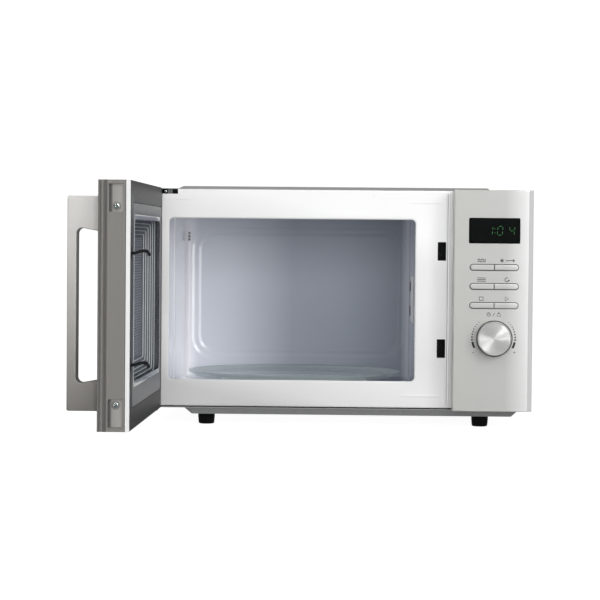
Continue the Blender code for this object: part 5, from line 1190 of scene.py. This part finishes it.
def makeTray():
    # a dished plate: flat middle, a slope up to a rounded rim, and the same again underneath
    radius, low = turntable["radius"], turntable["low"]
    top = [(0, low + 3.4), (60, low + 3.4), (118, low + 3.4), (121, low + 3.5), (124, low + 4.1),
           (127, low + 5.2), (130, low + 6.6), (132.0, low + 7.4), (132.9, low + 7.85), (133.4, low + 7.8),
           (radius, low + 7.3), (133.7, low + 6.4), (132.8, low + 5.4)]
    under = [(129, low + 3.2), (125.5, low + 1.3), (123, low + 0.4), (120, low), (90, low), (0, low)]
    glassMesh = lathe(top + under, (*turntable["centre"], 0), steps=160)
    show("tray", glassMesh, "tray_glass", "tray", stands=("glass_tray",))


makeTray()


def makeRing():
    # two turned rings, joined by pairs of spokes, and an axle for each roller
    mid, axle, track = turntable["centre"], turntable["axle"], turntable["track"]
    ring = lathe([(84.4, 49.55), (91.6, 49.55), (92.0, 49.15), (92.0, 44.45), (91.6, 44.05), (84.4, 44.05),
                  (84.0, 44.45), (84.0, 49.15)],
                 (*mid, 0), steps=128, closed=True)
    parts = [ring]
    headings = [2 * math.pi * k / 3 + math.radians(turntable["turnBy"]) for k in range(3)]
    start = np.array((*mid, axle))
    for a in headings:
        way = np.array((math.cos(a), math.sin(a), 0))
        parts.append(tube([start + way * track, start + way * 94, start + way * 101.0], 1.15, 16))
        for turn in (-1, 1):
            spread = np.array((math.cos(a + turn * 0.09), math.sin(a + turn * 0.09), 0))
            parts.append(tube([start + spread * 40, start + spread * 60, start + spread * 85], 1.6, 12))
    parts.append(lathe([(38.4, 48.6), (41.6, 48.6), (42.0, 48.2), (42.0, 45.4), (41.6, 45.0), (38.4, 45.0),
                        (38.0, 45.4), (38.0, 48.2)],
                       (*mid, 0), steps=96, closed=True))
    show("rollerRing", joined("rollerRing", parts), "white_plastic", "ring", stands=("roller_ring",))
    for k, a in enumerate(headings):
        c, s = math.cos(a), math.sin(a)
        # wheel: a rounded rim and a sunk web, turned about its own radial line
        profile = np.array([(1.6, 92.9), (2.4, 92.7), (4.4, 92.9), (5.2, 92.7), (5.5, 93.3), (5.5, 98.9),
                            (5.2, 99.5), (4.4, 99.3), (2.4, 99.5), (1.6, 99.3)])
        angle = np.linspace(0, 2 * math.pi, 40, endpoint=False)
        side = profile[:, 0][:, None] * np.cos(angle)
        tall = profile[:, 0][:, None] * np.sin(angle)
        out = profile[:, 1][:, None] + 0 * angle
        rows = np.stack([mid[0] + out * c - side * s, mid[1] + out * s + side * c, axle + tall], -1)
        show(f"trayRoller{k + 1}", gridMesh("wheel", rows, closeU=True, closeV=True), "white_plastic",
             f"roller_{k + 1}", stands=(f"tray_roller_{k + 1}",))


makeRing()

# dark clips on the cavity's right wall, which hold a sheet
for low in (129.5, 160.5):
    show(f"wallClip{int(low)}", brick((92.6, 94.8), (181, 188), (low, low + 12.5), 1.6, 0), "black_plastic")

# rear screws
for k, (x, z) in enumerate(((-222, 275), (222, 275), (-222, 32), (222, 32), (0, 278), (60, 150))):
    show(f"rearScrew{k}", screwHead((x, 325.2, z), 3.4, 1, 1), "chrome")
print("turntable and small parts")

# CAD nodes that stay take the finish of their slot
nodeSlots = {entry["node"]: entry["material_slot"] for entry in frame["record"]["subparts"]}
for name, node in frame["nodes"].items():
    if not node.hide_render:
        node.data.materials.clear()
        node.data.materials.append(finishes[nodeSlots[name]].mat)

# the stage: paper that runs from under the oven and up behind it
stage = {"half": 9.0, "front": -9.0, "far": 6.6, "bend": 0.8, "top": 4.0}  # metres
turn = np.linspace(0, math.pi / 2, 12)[1:]
wall = stage["far"] + stage["bend"]
sweepY = np.concatenate([[stage["front"], -3.0, -1.0, 0.0, 1.0, stage["far"]],
                         stage["far"] + stage["bend"] * np.sin(turn), [wall, wall]])
sweepZ = np.concatenate([np.zeros(6), stage["bend"] * (1 - np.cos(turn)), [2.0, stage["top"]]])
sweepX = np.linspace(-stage["half"], stage["half"], 20)
gx, gy = np.meshgrid(sweepX, sweepY)
gz = np.repeat(sweepZ[:, None], len(sweepX), 1)
backdrop = (np.stack([gx, gy, gz], -1) - shift) / mm
floorMesh = gridMesh("studioFloor", backdrop)
settle(floorMesh)
floor = bpy.data.objects.new("studioFloor", floorMesh)
bpy.context.scene.collection.objects.link(floor)
paper = Finish("paperWhite", (0.35, 0.35, 0.35), 0.8, Emission_Color=(1, 1, 1, 1), Emission_Strength=0.93)
paper.mottle(300, 0.01)
floorMesh.materials.append(paper.mat)
floor.visible_diffuse = False
floor.visible_glossy = False


# each light: where it hangs, what it looks at, its size in metres and its power in watts
lights = {
    "frontLight": ((0.3, -3.2, 0.5), (0.0, 0.0, 0.15), (1.6, 1.2), 62),
    "keyLight": ((1.75, -2.6, 1.35), (0.0, 0.0, 0.15), (1.1, 1.1), 30),
    "leftLight": ((-1.5, -2.6, 1.9), (0.0, 0.0, 0.15), (1.0, 0.8), 6),
    "highLight": ((0.25, -2.0, 1.9), (0.1, 0.0, 0.15), (0.35, 0.9), 10),
    "topLight": ((0.0, 0.3, 2.0), (0.0, 0.1, 0.0), (2.4, 1.6), 10),
    "rightStrip": ((1.95, -2.6, 0.12), (0.0, 0.1, 0.15), (0.3, 1.0), 7),
    "leftStrip": ((-1.4, -2.8, 0.12), (0.0, 0.1, 0.15), (0.2, 0.8), 4),
}


def area(name, at, target, size, power):
    # a rectangular light that faces its target
    lamp = bpy.data.lights.new(name, "AREA")
    lamp.shape = "RECTANGLE"
    lamp.size, lamp.size_y = size
    lamp.energy = power
    made = bpy.data.objects.new(name, lamp)
    made.location = at
    made.rotation_euler = (Vector(target) - Vector(at)).to_track_quat("-Z", "Y").to_euler()
    bpy.context.scene.collection.objects.link(made)
    return made


for name, values in lights.items():
    made = area(name, *values)
    made.visible_glossy = name != "frontLight"  # it would show as a white square in the glass
glow = bpy.data.lights.new("ovenGlow", "POINT")
glow.energy = 0.33
glow.shadow_soft_size = 0.05
lamp = bpy.data.objects.new("ovenGlow", glow)
lamp.location = Vector((-35, 75, 165)) * mm + Vector(shift)
lamp.visible_camera = False
lamp.visible_glossy = False
bpy.context.scene.collection.objects.link(lamp)
world = bpy.data.worlds.new("studio")
world.use_nodes = True
world.node_tree.nodes["Background"].inputs[0].default_value = (0.97, 0.98, 1.0, 1.0)
world.node_tree.nodes["Background"].inputs[1].default_value = 0.24
bpy.context.scene.world = world
bpy.context.scene.view_settings.view_transform = "Standard"
bpy.context.scene.view_settings.look = "None"

print("stage and lights")

# the camera: degrees of turn, tilt and roll, its place in millimetres, and its lens
view = {"yaw": -1.258, "pitch": -1.5165, "roll": 0.5, "at": (15.5, -2703.0, 224.6), "lens": 135.15}
yaw, pitch, roll = (math.radians(view[key]) for key in ("yaw", "pitch", "roll"))
ahead = Vector((math.sin(yaw) * math.cos(pitch), math.cos(yaw) * math.cos(pitch), math.sin(pitch)))
right = Vector((math.cos(yaw), -math.sin(yaw), 0.0))
up = right.cross(ahead)
rolledRight = right * math.cos(roll) + up * math.sin(roll)
rolledUp = up * math.cos(roll) - right * math.sin(roll)
place = Matrix((rolledRight, rolledUp, -ahead)).transposed().to_4x4()
place.translation = Vector(view["at"]) * mm + Vector(shift)
lens = bpy.data.cameras.new("mainCamera")
lens.lens = view["lens"]
lens.sensor_width = 36.0
camera = bpy.data.objects.new("mainCamera", lens)
camera.matrix_world = place
bpy.context.scene.collection.objects.link(camera)
bpy.context.scene.camera = camera
